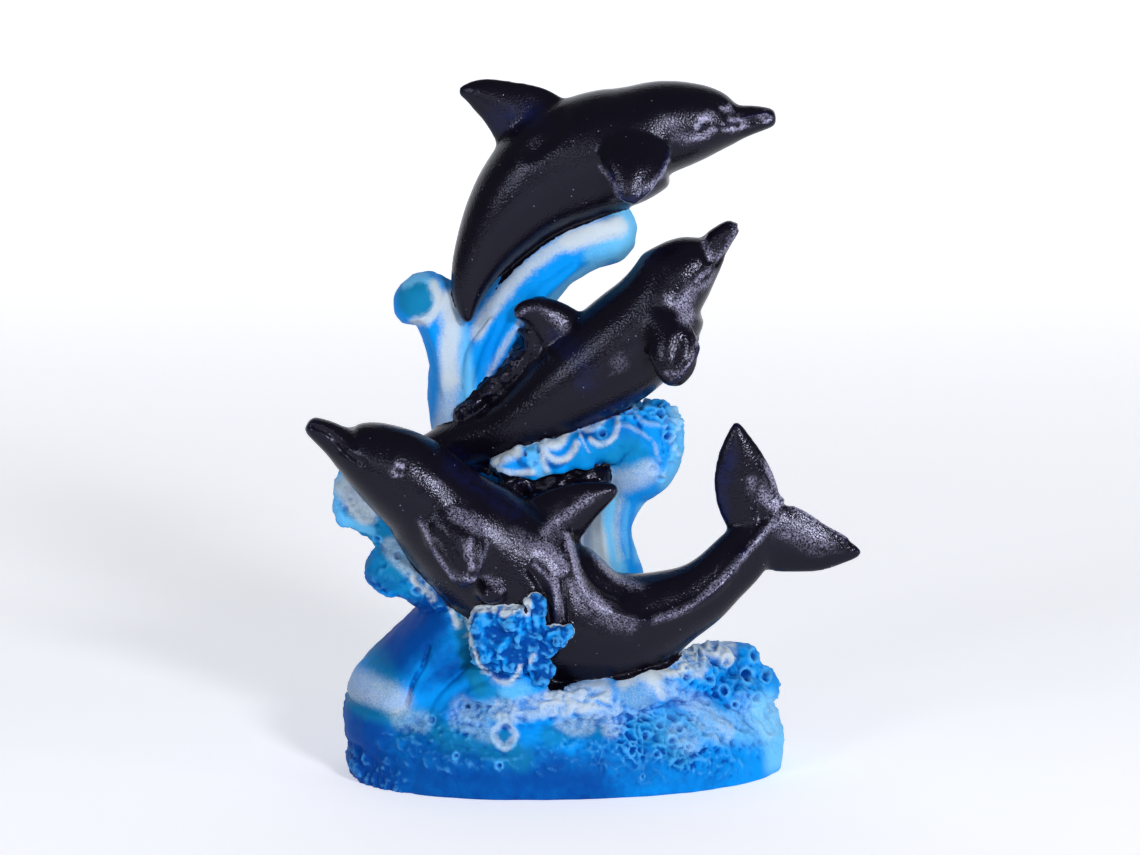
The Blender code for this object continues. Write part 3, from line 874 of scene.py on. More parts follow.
def fuse(name, things, voxel, passes):
    """One skin over all the things, softened a little."""
    joined = bmesh.new()
    for thing in things:
        joined.from_mesh(thing.data)
    mesh = bpy.data.meshes.new(name)
    joined.to_mesh(mesh)
    joined.free()
    made = bpy.data.objects.new(name, mesh)
    scene.collection.objects.link(made)
    skin = made.modifiers.new("Fused skin", "REMESH")
    skin.mode = "VOXEL"
    skin.voxel_size = voxel
    soften = made.modifiers.new("Softened seams", "SMOOTH")
    soften.factor = 0.5
    soften.iterations = passes
    settle(made)
    return made


dolphins = {}
for name in ("lower", "middle", "upper"):
    rough = mould(name + "_forms", name)
    dolphins[name] = fuse(name + "_dolphin", [rough], DOLPHIN_VOXEL, DOLPHIN_SOFTENING)
    bpy.data.objects.remove(rough)
water = mould("water_forms", "water")
curl = mould("curl_forms", "curl")
casting = fuse(
    "dolphin_figurine_casting",
    [*dolphins.values(), water, curl, cluster, heap, fringe, black_foam],
    SKIN_VOXEL,
    2,
)

# How far each place of the skin lies from each dolphin, wave and lump of foam, and the fields of noise that
# its relief and paint follow. They are worked out once for the whole skin.
MM = 1000.0
SWIRL_SIZE = 2.2
SWIRL_REACH = 0.0030
CELL_SIZE = 1.7
STREAK_LINE = Vector((0.87, 0.0, -0.5))
STREAK_ACROSS = Vector((0.5, 0.0, 0.87))
STREAK_LENGTHENING = 0.28
STREAK_DEPTH = Vector((0.0, 0.5, 0.0))
targets = {
    **dolphins,
    "water": water,
    "curl": curl,
    "black_foam": black_foam,
    "cluster": cluster,
    "heap": heap,
    "fringe": fringe,
}
noises = {
    "broad": ("ShaderNodeTexNoise", "plain", {}, {"Scale": MM / 6.0, "Detail": 3.0}),
    "churn": ("ShaderNodeTexNoise", "plain", {}, {"Scale": MM / 2.6, "Detail": 3.0, "Distortion": 0.8}),
    "fine": ("ShaderNodeTexNoise", "plain", {}, {"Scale": MM / 0.9, "Detail": 2.0}),
    "streaks": ("ShaderNodeTexNoise", "streaked", {}, {"Scale": MM / 1.5, "Detail": 2.0}),
    "cells": ("ShaderNodeTexVoronoi", "stirred", {"feature": "DISTANCE_TO_EDGE"}, {"Scale": MM / CELL_SIZE}),
    "dots": ("ShaderNodeTexVoronoi", "plain", {"feature": "F1"}, {"Scale": MM / 2.5}),
}


def field_tree():
    """Stores the distance to each target and the value of each noise, as attributes of a mesh."""
    tree = new_group(
        "skin_fields",
        "GeometryNodeTree",
        (("Skin", "Geometry"), *((name, "Object") for name in targets)),
        ("Skin", "Geometry"),
    )
    inside = add_node(tree, "NodeGroupInput").outputs
    skin = inside["Skin"]

    def store(skin, name, value, kind="FLOAT"):
        kept = add_node(
            tree,
            "GeometryNodeStoreNamedAttribute",
            {"Name": name, "Geometry": skin, "Value": value},
            data_type=kind,
            domain="POINT",
        )
        return kept.outputs["Geometry"]

    def vector(operation, inputs, output=0):
        return add_node(tree, "ShaderNodeVectorMath", inputs, operation=operation).outputs[output]

    for name in targets:
        other = add_node(
            tree, "GeometryNodeObjectInfo", {"Object": inside[name]}, transform_space="RELATIVE"
        )
        near = add_node(
            tree, "GeometryNodeProximity", {0: other.outputs["Geometry"]}, target_element="FACES"
        )
        skin = store(skin, "to_" + name, near.outputs["Distance"])

    position = add_node(tree, "GeometryNodeInputPosition").outputs[0]
    swirl = add_node(tree, "ShaderNodeTexNoise", {"Scale": MM / SWIRL_SIZE, "Vector": position})
    centred = vector("SUBTRACT", {0: swirl.outputs["Color"], 1: (0.5, 0.5, 0.5)})
    stirred = vector("ADD", {0: position, 1: vector("SCALE", {0: centred, "Scale": SWIRL_REACH})})
    skin = store(skin, "stirred", stirred, "FLOAT_VECTOR")
    lines = (STREAK_LINE * STREAK_LENGTHENING, STREAK_ACROSS, STREAK_DEPTH)
    along = [vector("DOT_PRODUCT", {0: stirred, 1: line}, "Value") for line in lines]
    streaked = add_node(tree, "ShaderNodeCombineXYZ", dict(enumerate(along)))
    sources = {"plain": position, "stirred": stirred, "streaked": streaked.outputs[0]}
    for name, (kind, source, settings, values) in noises.items():
        noise = add_node(tree, kind, {"Vector": sources[source], **values}, **settings)
        skin = store(skin, name, noise.outputs["Distance" if "Voronoi" in kind else "Fac"])
    add_node(tree, "NodeGroupOutput", {"Skin": skin})
    return tree


run_nodes(casting, field_tree(), targets)

mesh = casting.data
count = len(mesh.vertices)
place = np.empty(count * 3, np.float32)
mesh.vertices.foreach_get("co", place)
place = place.reshape(-1, 3).astype(float) / UNIT
edges = np.empty(len(mesh.edges) * 2, np.int32)
mesh.edges.foreach_get("vertices", edges)
edges = edges.reshape(-1, 2)
neighbours = np.bincount(edges.ravel(), minlength=count)
field = {}
for name in [*noises, *("to_" + target for target in targets)]:
    values = np.empty(count, np.float32)
    mesh.attributes[name].data.foreach_get("value", values)
    field[name] = values.astype(float)
for target in targets:
    field["to_" + target] /= UNIT


def averaged(values, passes, weight=None):
    """Values drawn towards the mean of their neighbours, as often as passes says."""
    values = values.astype(float)
    weight = np.full(count, 1.0) if weight is None else weight
    for _ in range(passes):
        flat = values.reshape(count, -1)
        mean = np.empty_like(flat)
        for axis in range(flat.shape[1]):
            total = np.bincount(edges[:, 0], weights=flat[edges[:, 1], axis], minlength=count)
            total += np.bincount(edges[:, 1], weights=flat[edges[:, 0], axis], minlength=count)
            mean[:, axis] = total / neighbours
        flat = flat + (mean - flat) * weight[:, None]
        values = flat.reshape(values.shape)
    return values


def ramp(values, low, high):
    """0 below low, 1 above high and a soft step between. A low above high runs the other way."""
    t = np.clip((values - low) / (high - low), 0.0, 1.0)
    return t * t * (3 - 2 * t)


def outward():
    """The unit normal of the skin at each place."""
    mesh.vertices.foreach_set("co", (place * UNIT).astype(np.float32).ravel())
    mesh.update()
    normals = np.empty(count * 3, np.float32)
    mesh.vertex_normals.foreach_get("vector", normals)
    return normals.reshape(-1, 3).astype(float)


# The seam between dolphin and sea: below 0 the skin belongs to a dolphin or to the foam painted with it,
# above 0 to the water.
on_dolphin = np.minimum.reduce([field["to_" + name] for name in dolphins])
on_black = np.minimum(on_dolphin, field["to_black_foam"])
waters = ("water", "curl", "cluster", "heap", "fringe")
on_water = np.minimum.reduce([field["to_" + name] for name in waters])
seam = on_black - on_water
smooth_body = ramp(seam, -0.2, -0.9) * ramp(on_dolphin, 1.0, 0.6)
place = averaged(place, 6, smooth_body * 0.6)
normal = outward()
facing = {
    "front": ramp(normal[:, 1], 0.35, 0.05),
    "back": ramp(normal[:, 1], -0.35, -0.05),
    "both": np.ones(count),
}
near = {name: ramp(field["to_" + name], 0.8, 0.4) for name in targets}
wet = ramp(seam, 0.05, 0.5)


def from_line(points):
    """How far each place is, seen from the front, from a smooth line through points on the sheet."""
    if len(points) == 1:
        return np.hypot(place[:, 0] - points[0][0], place[:, 2] - points[0][1])
    line = smooth_rows([(x, 0.0, z) for x, z in points], 1.0)[:, [0, 2]]
    found = np.full(count, 1e3)
    for a, b in zip(line, line[1:]):
        span = b - a
        t = ((place[:, 0] - a[0]) * span[0] + (place[:, 2] - a[1]) * span[1]) / max(span @ span, 1e-9)
        t = np.clip(t, 0.0, 1.0)
        away = np.hypot(place[:, 0] - a[0] - span[0] * t, place[:, 2] - a[1] - span[1] * t)
        found = np.minimum(found, away)
    return found


# How much a stroke wanders from its line. Those on the back are the loosest.
WAVER = {"front": 0.6, "back": 5.0, "both": 0.6}


def brushed(rows):
    """How much of each place lies under soft strokes: side, strength, half width, softness and line."""
    left = np.ones(count)
    for side, strength, half, soft, points in rows:
        away = from_line(points) + (field["broad"] - 0.5) * WAVER[side]
        left *= 1.0 - strength * ramp(away, half + soft, half) * facing[side]
    return 1.0 - left


# The lines tooled into the dolphins: the folds of the lower one's flank, the mouths, the crease behind each
# beak, the rims of the paddles, the ridges of the flukes and the eyes.
# A form, a height, below 0 for a groove, half a width and a line.
TOOLED = (
    ("lower", 0.75, 0.9, ((0.2, 45.2), (0.9, 40.6), (4.2, 34.6), (9.2, 31.8), (14.7, 30.6), (21.9, 32.6),
                          (27.6, 36.2), (31.3, 41.6))),
    ("lower", -0.60, 0.9, ((1.8, 44.6), (2.6, 41.2), (5.6, 37.0), (9.6, 34.9))),
    ("lower", 0.35, 0.7, ((3.6, 43.6), (5.2, 40.4), (8.8, 37.0), (14.0, 35.4))),
    ("lower", 0.55, 0.6, ((-5.4, 41.2), (-3.8, 39.2), (-2.4, 36.3), (-1.5, 30.5))),
    ("lower", -0.80, 0.6, ((-6.2, 40.2), (-4.8, 38.2), (-3.5, 35.4), (-2.8, 31.0))),
    ("lower", -0.80, 0.5, ((-0.4, 38.4), (-0.4, 35.0), (-0.3, 30.8))),
    ("lower", 0.40, 0.8, ((-4.6, 43.4), (-2.6, 42.0), (-1.2, 40.0))),
    ("lower", 0.40, 0.9, ((-3.7, 46.3), (0.6, 49.0), (3.9, 51.3))),
    ("lower", -0.45, 0.35, ((-44.2, 65.2), (-41.0, 63.8), (-37.8, 60.6), (-35.2, 58.9))),
    ("lower", -0.45, 0.6, ((-37.5, 65.4), (-37.2, 63.6), (-36.7, 61.9))),
    ("lower", 0.50, 0.4, ((-25.6, 49.6), (-25.0, 48.2), (-23.2, 44.8), (-20.9, 41.3), (-19.2, 38.9))),
    ("lower", 0.40, 0.4, ((-13.5, 45.4), (-14.0, 43.6), (-14.9, 41.4), (-16.0, 39.4), (-18.0, 38.6))),
    ("lower", 0.25, 0.5, ((-16.4, 46.2), (-16.3, 43.8), (-16.2, 41.3))),
    ("lower", -0.35, 1.0, ((-22.0, 46.4), (-19.8, 43.0), (-18.2, 40.6))),
    ("lower", 0.60, 0.8, ((38.0, 50.2), (36.6, 47.2), (34.4, 44.0), (31.4, 41.0))),
    ("lower", 0.45, 0.6, ((38.6, 50.0), (44.3, 46.6), (49.7, 43.2))),
    ("lower", -0.40, 0.9, ((33.4, 54.0), (33.8, 50.0), (34.6, 47.2))),
    ("middle", -0.45, 0.35, ((30.4, 98.6), (29.6, 95.9), (28.0, 93.6), (26.4, 92.2))),
    ("middle", 0.30, 0.35, ((30.2, 99.4), (29.0, 96.6), (27.4, 94.4), (26.3, 92.9))),
    ("middle", -0.50, 0.6, ((24.0, 97.6), (24.4, 95.4), (25.2, 93.2))),
    ("middle", 0.45, 0.4, ((23.1, 79.0), (22.7, 77.3), (21.3, 75.2), (19.8, 73.2), (18.2, 72.4))),
    ("middle", -0.40, 1.2, ((19.6, 79.4), (19.0, 76.6))),
    ("middle", 0.25, 0.4, ((-8.9, 82.8), (-6.4, 84.2), (-3.7, 83.9))),
    ("middle", 0.30, 0.5, ((-5.0, 80.8), (-3.4, 77.8), (-2.5, 75.7))),
    ("upper", -0.45, 0.35, ((36.0, 117.9), (34.2, 117.5), (31.6, 117.0), (29.5, 116.4), (27.5, 115.6))),
    ("upper", 0.30, 0.35, ((35.2, 118.6), (32.0, 118.0), (29.7, 117.2), (27.8, 116.4))),
    ("upper", -0.50, 0.6, ((27.2, 120.4), (28.6, 119.6), (29.2, 118.4))),
    ("upper", 0.40, 0.4, ((17.7, 111.5), (16.8, 109.0), (15.4, 107.2), (14.2, 105.6), (11.7, 103.7))),
    ("upper", 0.30, 0.4, ((5.9, 109.6), (8.0, 107.0), (9.5, 104.4))),
    ("upper", -0.70, 1.7, ((-0.8, 118.4), (-2.6, 115.2), (-5.8, 112.4))),
)
# A form, a size and a place.
EYES = (("lower", 0.85, (-28.6, 58.3)), ("middle", 0.9, (23.9, 90.3)), ("upper", 0.9, (23.9, 116.5)))

height = np.zeros(count)
for form, lift, half, points in TOOLED:
    away = from_line(points)
    height += lift * np.exp(-((away / half) ** 2)) * near[form] * facing["front"] * ramp(seam, 0.3, -0.2)
for form, size, middle in EYES:
    away = from_line((middle,)) / size
    lid = 0.45 * np.exp(-((away / 0.50) ** 2)) - 0.40 * np.exp(-(((away - 1.0) / 0.30) ** 2))
    height += (lid + 0.10 * np.exp(-(((away - 1.5) / 0.30) ** 2))) * size * near[form]

# The water's relief: flutes and furrows, the crack in the hump, bubble rings, churned and cellular foam, and
# the scalloped ribbons along the fringe.
CRACK = ((-24.5, 25.6), (-24.8, 23.8), (-25.3, 22.2), (-26.4, 20.4), (-27.1, 18.9), (-28.0, 15.4))
# A height, below 0 for a groove, half a width and a line.
FURROWS = (
    (-0.45, 0.7, ((-16.1, 65.4), (-13.6, 70.8), (-10.4, 77.2), (-6.4, 83.6))),
    (-0.40, 0.6, ((-13.9, 66.7), (-11.6, 72.0), (-8.8, 76.5))),
    (-0.35, 0.7, ((-19.0, 64.0), (-18.4, 70.0), (-18.6, 77.0))),
    (-0.45, 0.7, ((-11.7, 26.3), (-17.0, 24.8), (-21.4, 22.3), (-25.0, 17.2))),
    (-0.50, 0.8, ((-10.8, 21.4), (-15.6, 20.0), (-20.2, 16.7), (-23.7, 12.7))),
    (0.45, 0.6, ((-11.2, 18.9), (-15.0, 19.2), (-19.0, 16.7), (-22.1, 14.0))),
    (-0.35, 0.7, ((-17.0, 28.7), (-21.4, 27.5), (-25.0, 25.1))),
    (-1.30, 0.35, CRACK),
    (-0.55, 0.5, ((-39.6, 14.6), (-36.0, 14.0), (-31.6, 13.8), (-28.8, 14.6))),
    (-0.60, 0.3, ((9.5, 13.0), (11.4, 12.8), (13.3, 12.8))),
    (0.50, 0.8, ((12.0, 21.6), (15.6, 19.3), (16.8, 16.2), (17.0, 14.0))),
    (-0.45, 1.6, ((11.6, 17.8), (13.4, 16.2))),
    (0.55, 0.8, ((14.8, 21.1), (18.0, 18.4), (22.0, 15.2), (24.6, 12.8), (28.2, 10.1), (33.0, 7.8))),
    (0.40, 0.7, ((21.0, 20.0), (25.0, 17.6), (29.0, 15.4))),
    (-0.55, 0.9, ((-38.6, 6.4), (-37.0, 6.0))),
    (-0.40, 1.2, ((-26.0, 11.0), (-22.0, 10.0), (-18.0, 8.2))),
    (0.35, 1.2, ((-24.0, 7.0), (-16.0, 6.4), (-8.0, 6.8))),
    (-0.35, 1.0, ((-1.6, 11.4), (3.0, 12.6), (7.0, 10.6))),
    (-0.35, 0.4, ((-23.2, 89.5), (-21.4, 88.4), (-21.8, 85.6), (-23.4, 82.8), (-27.2, 81.2))),
    (-0.35, 0.5, ((5.2, 91.6), (4.6, 93.8), (6.0, 96.0), (8.4, 96.6))),
    (-0.90, 0.35, ((-6.8, 34.2), (-6.2, 32.1), (-5.6, 30.0))),
    (-0.90, 0.40, ((-7.4, 28.0), (-7.0, 25.0), (-7.2, 21.6))),
    (-0.70, 0.40, ((-7.0, 28.6), (-4.4, 27.6), (-2.6, 25.4))),
    (0.30, 0.6, ((7.2, 53.0), (6.4, 46.0), (7.0, 39.0))),
    (-0.30, 0.6, ((9.2, 52.0), (8.4, 46.0), (9.0, 39.0))),
    (0.25, 0.6, ((11.6, 50.0), (10.8, 45.0), (11.2, 39.0))),
)
# The middle of a bubble's ring, its radius and how deep it is inside.
RINGS = (
    (-10.7, 11.3, 2.1, 0.3),
    (28.9, 20.7, 1.0, 0.9),
    (33.9, 20.5, 0.9, 0.9),
    (26.6, 22.8, 0.9, 1.0),
    (23.8, 21.6, 0.7, 0.8),
    (32.5, 17.7, 1.1, 0.8),
    (36.2, 16.7, 0.9, 0.7),
    (28.2, 16.0, 0.9, 1.1),
    (26.0, 18.4, 0.7, 1.1),
    (21.4, 19.8, 0.9, 0.6),
    (34.3, 14.4, 0.8, 1.0),
    (30.2, 13.7, 0.6, 0.8),
    (25.2, 14.4, 0.5, 0.8),
    (16.6, 12.2, 0.7, 0.9),
    (14.0, 10.7, 0.7, 0.9),
    (18.6, 9.6, 0.8, 1.0),
    (21.6, 8.4, 0.7, 0.9),
    (20.0, 11.4, 0.6, 0.9),
    (16.0, 7.4, 0.6, 0.8),
    (13.4, 3.6, 0.4, 0.8),
    (-19.2, 7.6, 0.5, 0.8),
    (-11.6, 6.2, 0.6, 0.8),
    (-24.0, 13.0, 0.7, 0.4),
    (16.8, 65.0, 0.9, 0.8),
    (18.2, 61.4, 0.9, 0.8),
    (14.4, 66.8, 0.6, 0.8),
    (11.4, 65.2, 0.5, 0.8),
    (9.4, 65.0, 0.5, 0.8),
    (15.4, 55.4, 1.0, 0.4),
    (17.0, 53.6, 0.8, 0.4),
    (-7.3, 58.7, 0.5, 1.0),
    (-5.6, 57.2, 0.6, 1.0),
    (-5.0, 59.4, 0.5, 1.0),
    (6.4, 62.4, 0.8, 1.0),
    (-26.4, 35.0, 0.9, 0.5),
    (-29.8, 41.2, 0.8, 0.5),
    (-33.4, 43.8, 0.7, 0.5),
)
# A height, half a width and a line on the fringe and the right wave's head.
RIBBONS = (
    (0.45, 0.95, ((-12.4, 57.0), (-10.4, 58.2), (-8.6, 58.9))),
    (0.40, 0.60, ((-11.6, 56.0), (-9.0, 55.5), (-6.0, 55.8))),
    (0.45, 0.55, ((-8.8, 59.4), (-7.0, 60.1), (-5.3, 60.7), (-4.2, 59.6), (-4.0, 57.6), (-3.4, 56.0))),
    (0.55, 0.60, ((-3.6, 60.2), (-3.3, 58.8), (-1.8, 57.8), (0.0, 58.1), (1.3, 59.4), (2.0, 60.6))),
    (0.55, 0.75, ((-3.2, 60.4), (-1.7, 60.2), (-0.6, 61.0), (0.4, 62.4), (1.8, 63.1))),
    (0.45, 0.50, ((2.3, 63.0), (4.2, 62.8), (6.0, 63.6), (7.0, 64.8), (8.4, 65.3))),
    (0.50, 0.50, ((4.4, 61.2), (5.6, 60.4), (7.2, 60.7), (8.6, 61.8), (9.1, 63.4), (9.4, 64.4))),
    (0.40, 0.22, ((2.3, 62.4), (3.0, 60.8), (4.0, 59.2))),
    (0.45, 0.40, ((9.3, 63.4), (10.6, 63.6), (12.6, 62.6), (14.6, 61.4), (15.8, 59.8), (16.2, 57.9),
                  (17.4, 56.2), (17.2, 54.0))),
    (0.45, 0.40, ((8.6, 65.6), (10.4, 65.8), (12.2, 65.7), (13.4, 64.2), (15.2, 63.6), (17.4, 63.2))),
    (0.45, 0.40, ((13.4, 68.0), (15.2, 67.6), (17.2, 67.6), (18.8, 66.2), (19.8, 63.2))),
    (0.40, 0.40, ((17.4, 63.2), (18.8, 64.4), (19.6, 62.8), (18.6, 60.2), (19.8, 58.0))),
)
# Where the foam is cellular, churned or streaked. These rows, like those of the paint further down, are
# strokes: a side, a strength, half a width, a softness and a line.
HONEYCOMB = (
    ("front", 1.0, 3.0, 2.6, ((13.0, 10.6), (17.0, 9.5), (21.0, 9.0))),
    ("front", 0.6, 1.4, 2.0, ((14.0, 4.8), (20.0, 5.0))),
    ("front", 0.35, 1.5, 2.5, ((4.0, 8.4), (9.0, 7.0))),
    ("front", 0.7, 1.5, 1.6, ((20.0, 22.0), (24.6, 23.6))),
    ("front", 0.7, 1.4, 1.4, ((14.0, 67.0), (18.0, 65.4), (19.6, 61.4))),
    ("back", 0.6, 3.0, 3.5, ((-30.0, 9.0), (-12.0, 8.0), (10.0, 8.0), (30.0, 9.0))),
)
CHURNED = (
    ("front", 1.0, 2.2, 1.8, ((-17.4, 13.6), (-10.0, 15.4), (-2.0, 16.2), (6.0, 16.0), (9.0, 13.6))),
    ("front", 0.28, 2.5, 2.5, ((-26.0, 7.0), (-20.0, 6.0), (-8.0, 7.0), (8.0, 6.0))),
    ("front", 0.5, 2.0, 2.0, ((0.0, 12.0), (8.0, 11.0))),
    ("front", 0.9, 2.0, 2.5, ((-38.0, 4.0), (-35.0, 2.0), (-30.0, 1.0))),
    ("front", 0.7, 3.0, 2.0, ((16.0, 12.6), (22.0, 8.0), (28.0, 5.0))),
    ("front", 0.6, 1.4, 1.6, ((-28.0, 12.0), (-22.0, 12.6))),
    ("front", 0.8, 1.2, 1.2, ((-27.0, 38.0), (-24.0, 35.0), (-20.4, 31.6))),
    ("front", 0.7, 2.4, 1.6, ((21.0, 20.0), (27.0, 19.0), (33.0, 17.0))),
    ("front", 0.9, 1.8, 1.6, ((12.0, 66.6), (16.6, 66.0), (19.0, 62.4), (18.4, 57.6))),
    ("front", 0.5, 1.6, 2.4, ((30.0, 12.0), (36.0, 8.0))),
    ("back", 0.8, 5.0, 5.0, ((-34.0, 10.0), (0.0, 11.0), (34.0, 10.0))),
)
STREAKED = (
    ("front", 1.0, 3.2, 2.4, ((20.0, 17.4), (26.0, 13.6), (33.0, 10.6), (37.0, 8.0))),
    ("front", 0.5, 2.4, 2.4, ((24.0, 6.0), (34.0, 4.0))),
    ("front", 0.7, 2.4, 2.6, ((-30.0, 8.0), (-16.0, 8.0), (-2.0, 8.6))),
)
# Right of this x, on the right wave's head, the ribbons are broken up more.
WAVE_HEAD = 9.5
RING_HEIGHT = 0.28
HOLLOW_DEPTH = 0.75
CELL_DEPTH = 0.85
CELL_RIM = 0.3
CURL_PIT = 0.5
CLUSTER_PIT = 0.6
BLACK_FOAM_RELIEF = 1.8
EDGE_RELIEF = 0.5

for lift, half, points in FURROWS:
    height += lift * np.exp(-((from_line(points) / half) ** 2)) * wet * facing["front"]
rings = np.zeros(count)
hollows = np.zeros(count)
for x, z, radius, depth in RINGS:
    away = from_line(((x, z),)) + (field["churn"] - 0.5) * 0.9 * radius
    ring = np.exp(-(((away - radius) / (0.16 + 0.10 * radius)) ** 2)) * facing["front"] * wet
    hollow = ramp(away, radius * 0.95, radius * 0.55) * facing["front"] * wet
    rings = np.maximum(rings, ring)
    hollows = np.maximum(hollows, hollow * min(1.0, depth))
    height += RING_HEIGHT * ring - HOLLOW_DEPTH * depth * hollow

ribbons = np.zeros(count)
shown = facing["front"] * ramp(seam, -0.35, 0.05)
for lift, half, points in RIBBONS:
    away = from_line(points) + (field["fine"] - 0.5) * 0.25
    ribbons = np.maximum(ribbons, np.exp(-((away / half) ** 4)) * shown * min(1.0, 0.2 + half))
    height += lift * np.exp(-((away / (half * 1.15)) ** 2)) * shown
lost = ramp(field["churn"], 0.52, 0.40)
ribbons *= np.where(place[:, 0] > WAVE_HEAD, 0.5 - 0.5 * lost, 1.0 - 0.3 * lost)

honeycomb = brushed(HONEYCOMB) * (0.35 + 0.65 * ramp(field["broad"], 0.38, 0.56))
churned = brushed(CHURNED)
streaked = brushed(STREAKED)
for where, pattern, relief in (
    (1.0, "broad", 1.1),
    (churned, "churn", 2.8),
    (churned, "fine", 1.2),
    (honeycomb, "churn", 2.0),
    (streaked, "streaks", 2.4),
    (near["curl"], "churn", 1.6),
    (near["cluster"], "churn", 2.2),
    (near["cluster"], "fine", 1.3),
    (near["heap"], "churn", 1.2),
):
    height += wet * where * (field[pattern] - 0.5) * relief
height -= wet * honeycomb * (CELL_DEPTH * ramp(field["cells"], 0.05, 0.24) - CELL_RIM)
height -= wet * near["curl"] * CURL_PIT * ramp(field["dots"], 0.30, 0.15)
height -= wet * near["cluster"] * CLUSTER_PIT * ramp(field["dots"], 0.20, 0.12)
height += near["black_foam"] * ramp(on_dolphin, 0.2, 0.6) * (field["churn"] - 0.5) * BLACK_FOAM_RELIEF
height += (1 - smooth_body) * ramp(seam, 0.2, -0.2) * (field["fine"] - 0.5) * EDGE_RELIEF
place = place + normal * height[:, None]
place = averaged(place, 1, np.full(count, 0.30))
normal = outward()
rise = np.sum((place - averaged(place, 10)) * normal, axis=1)

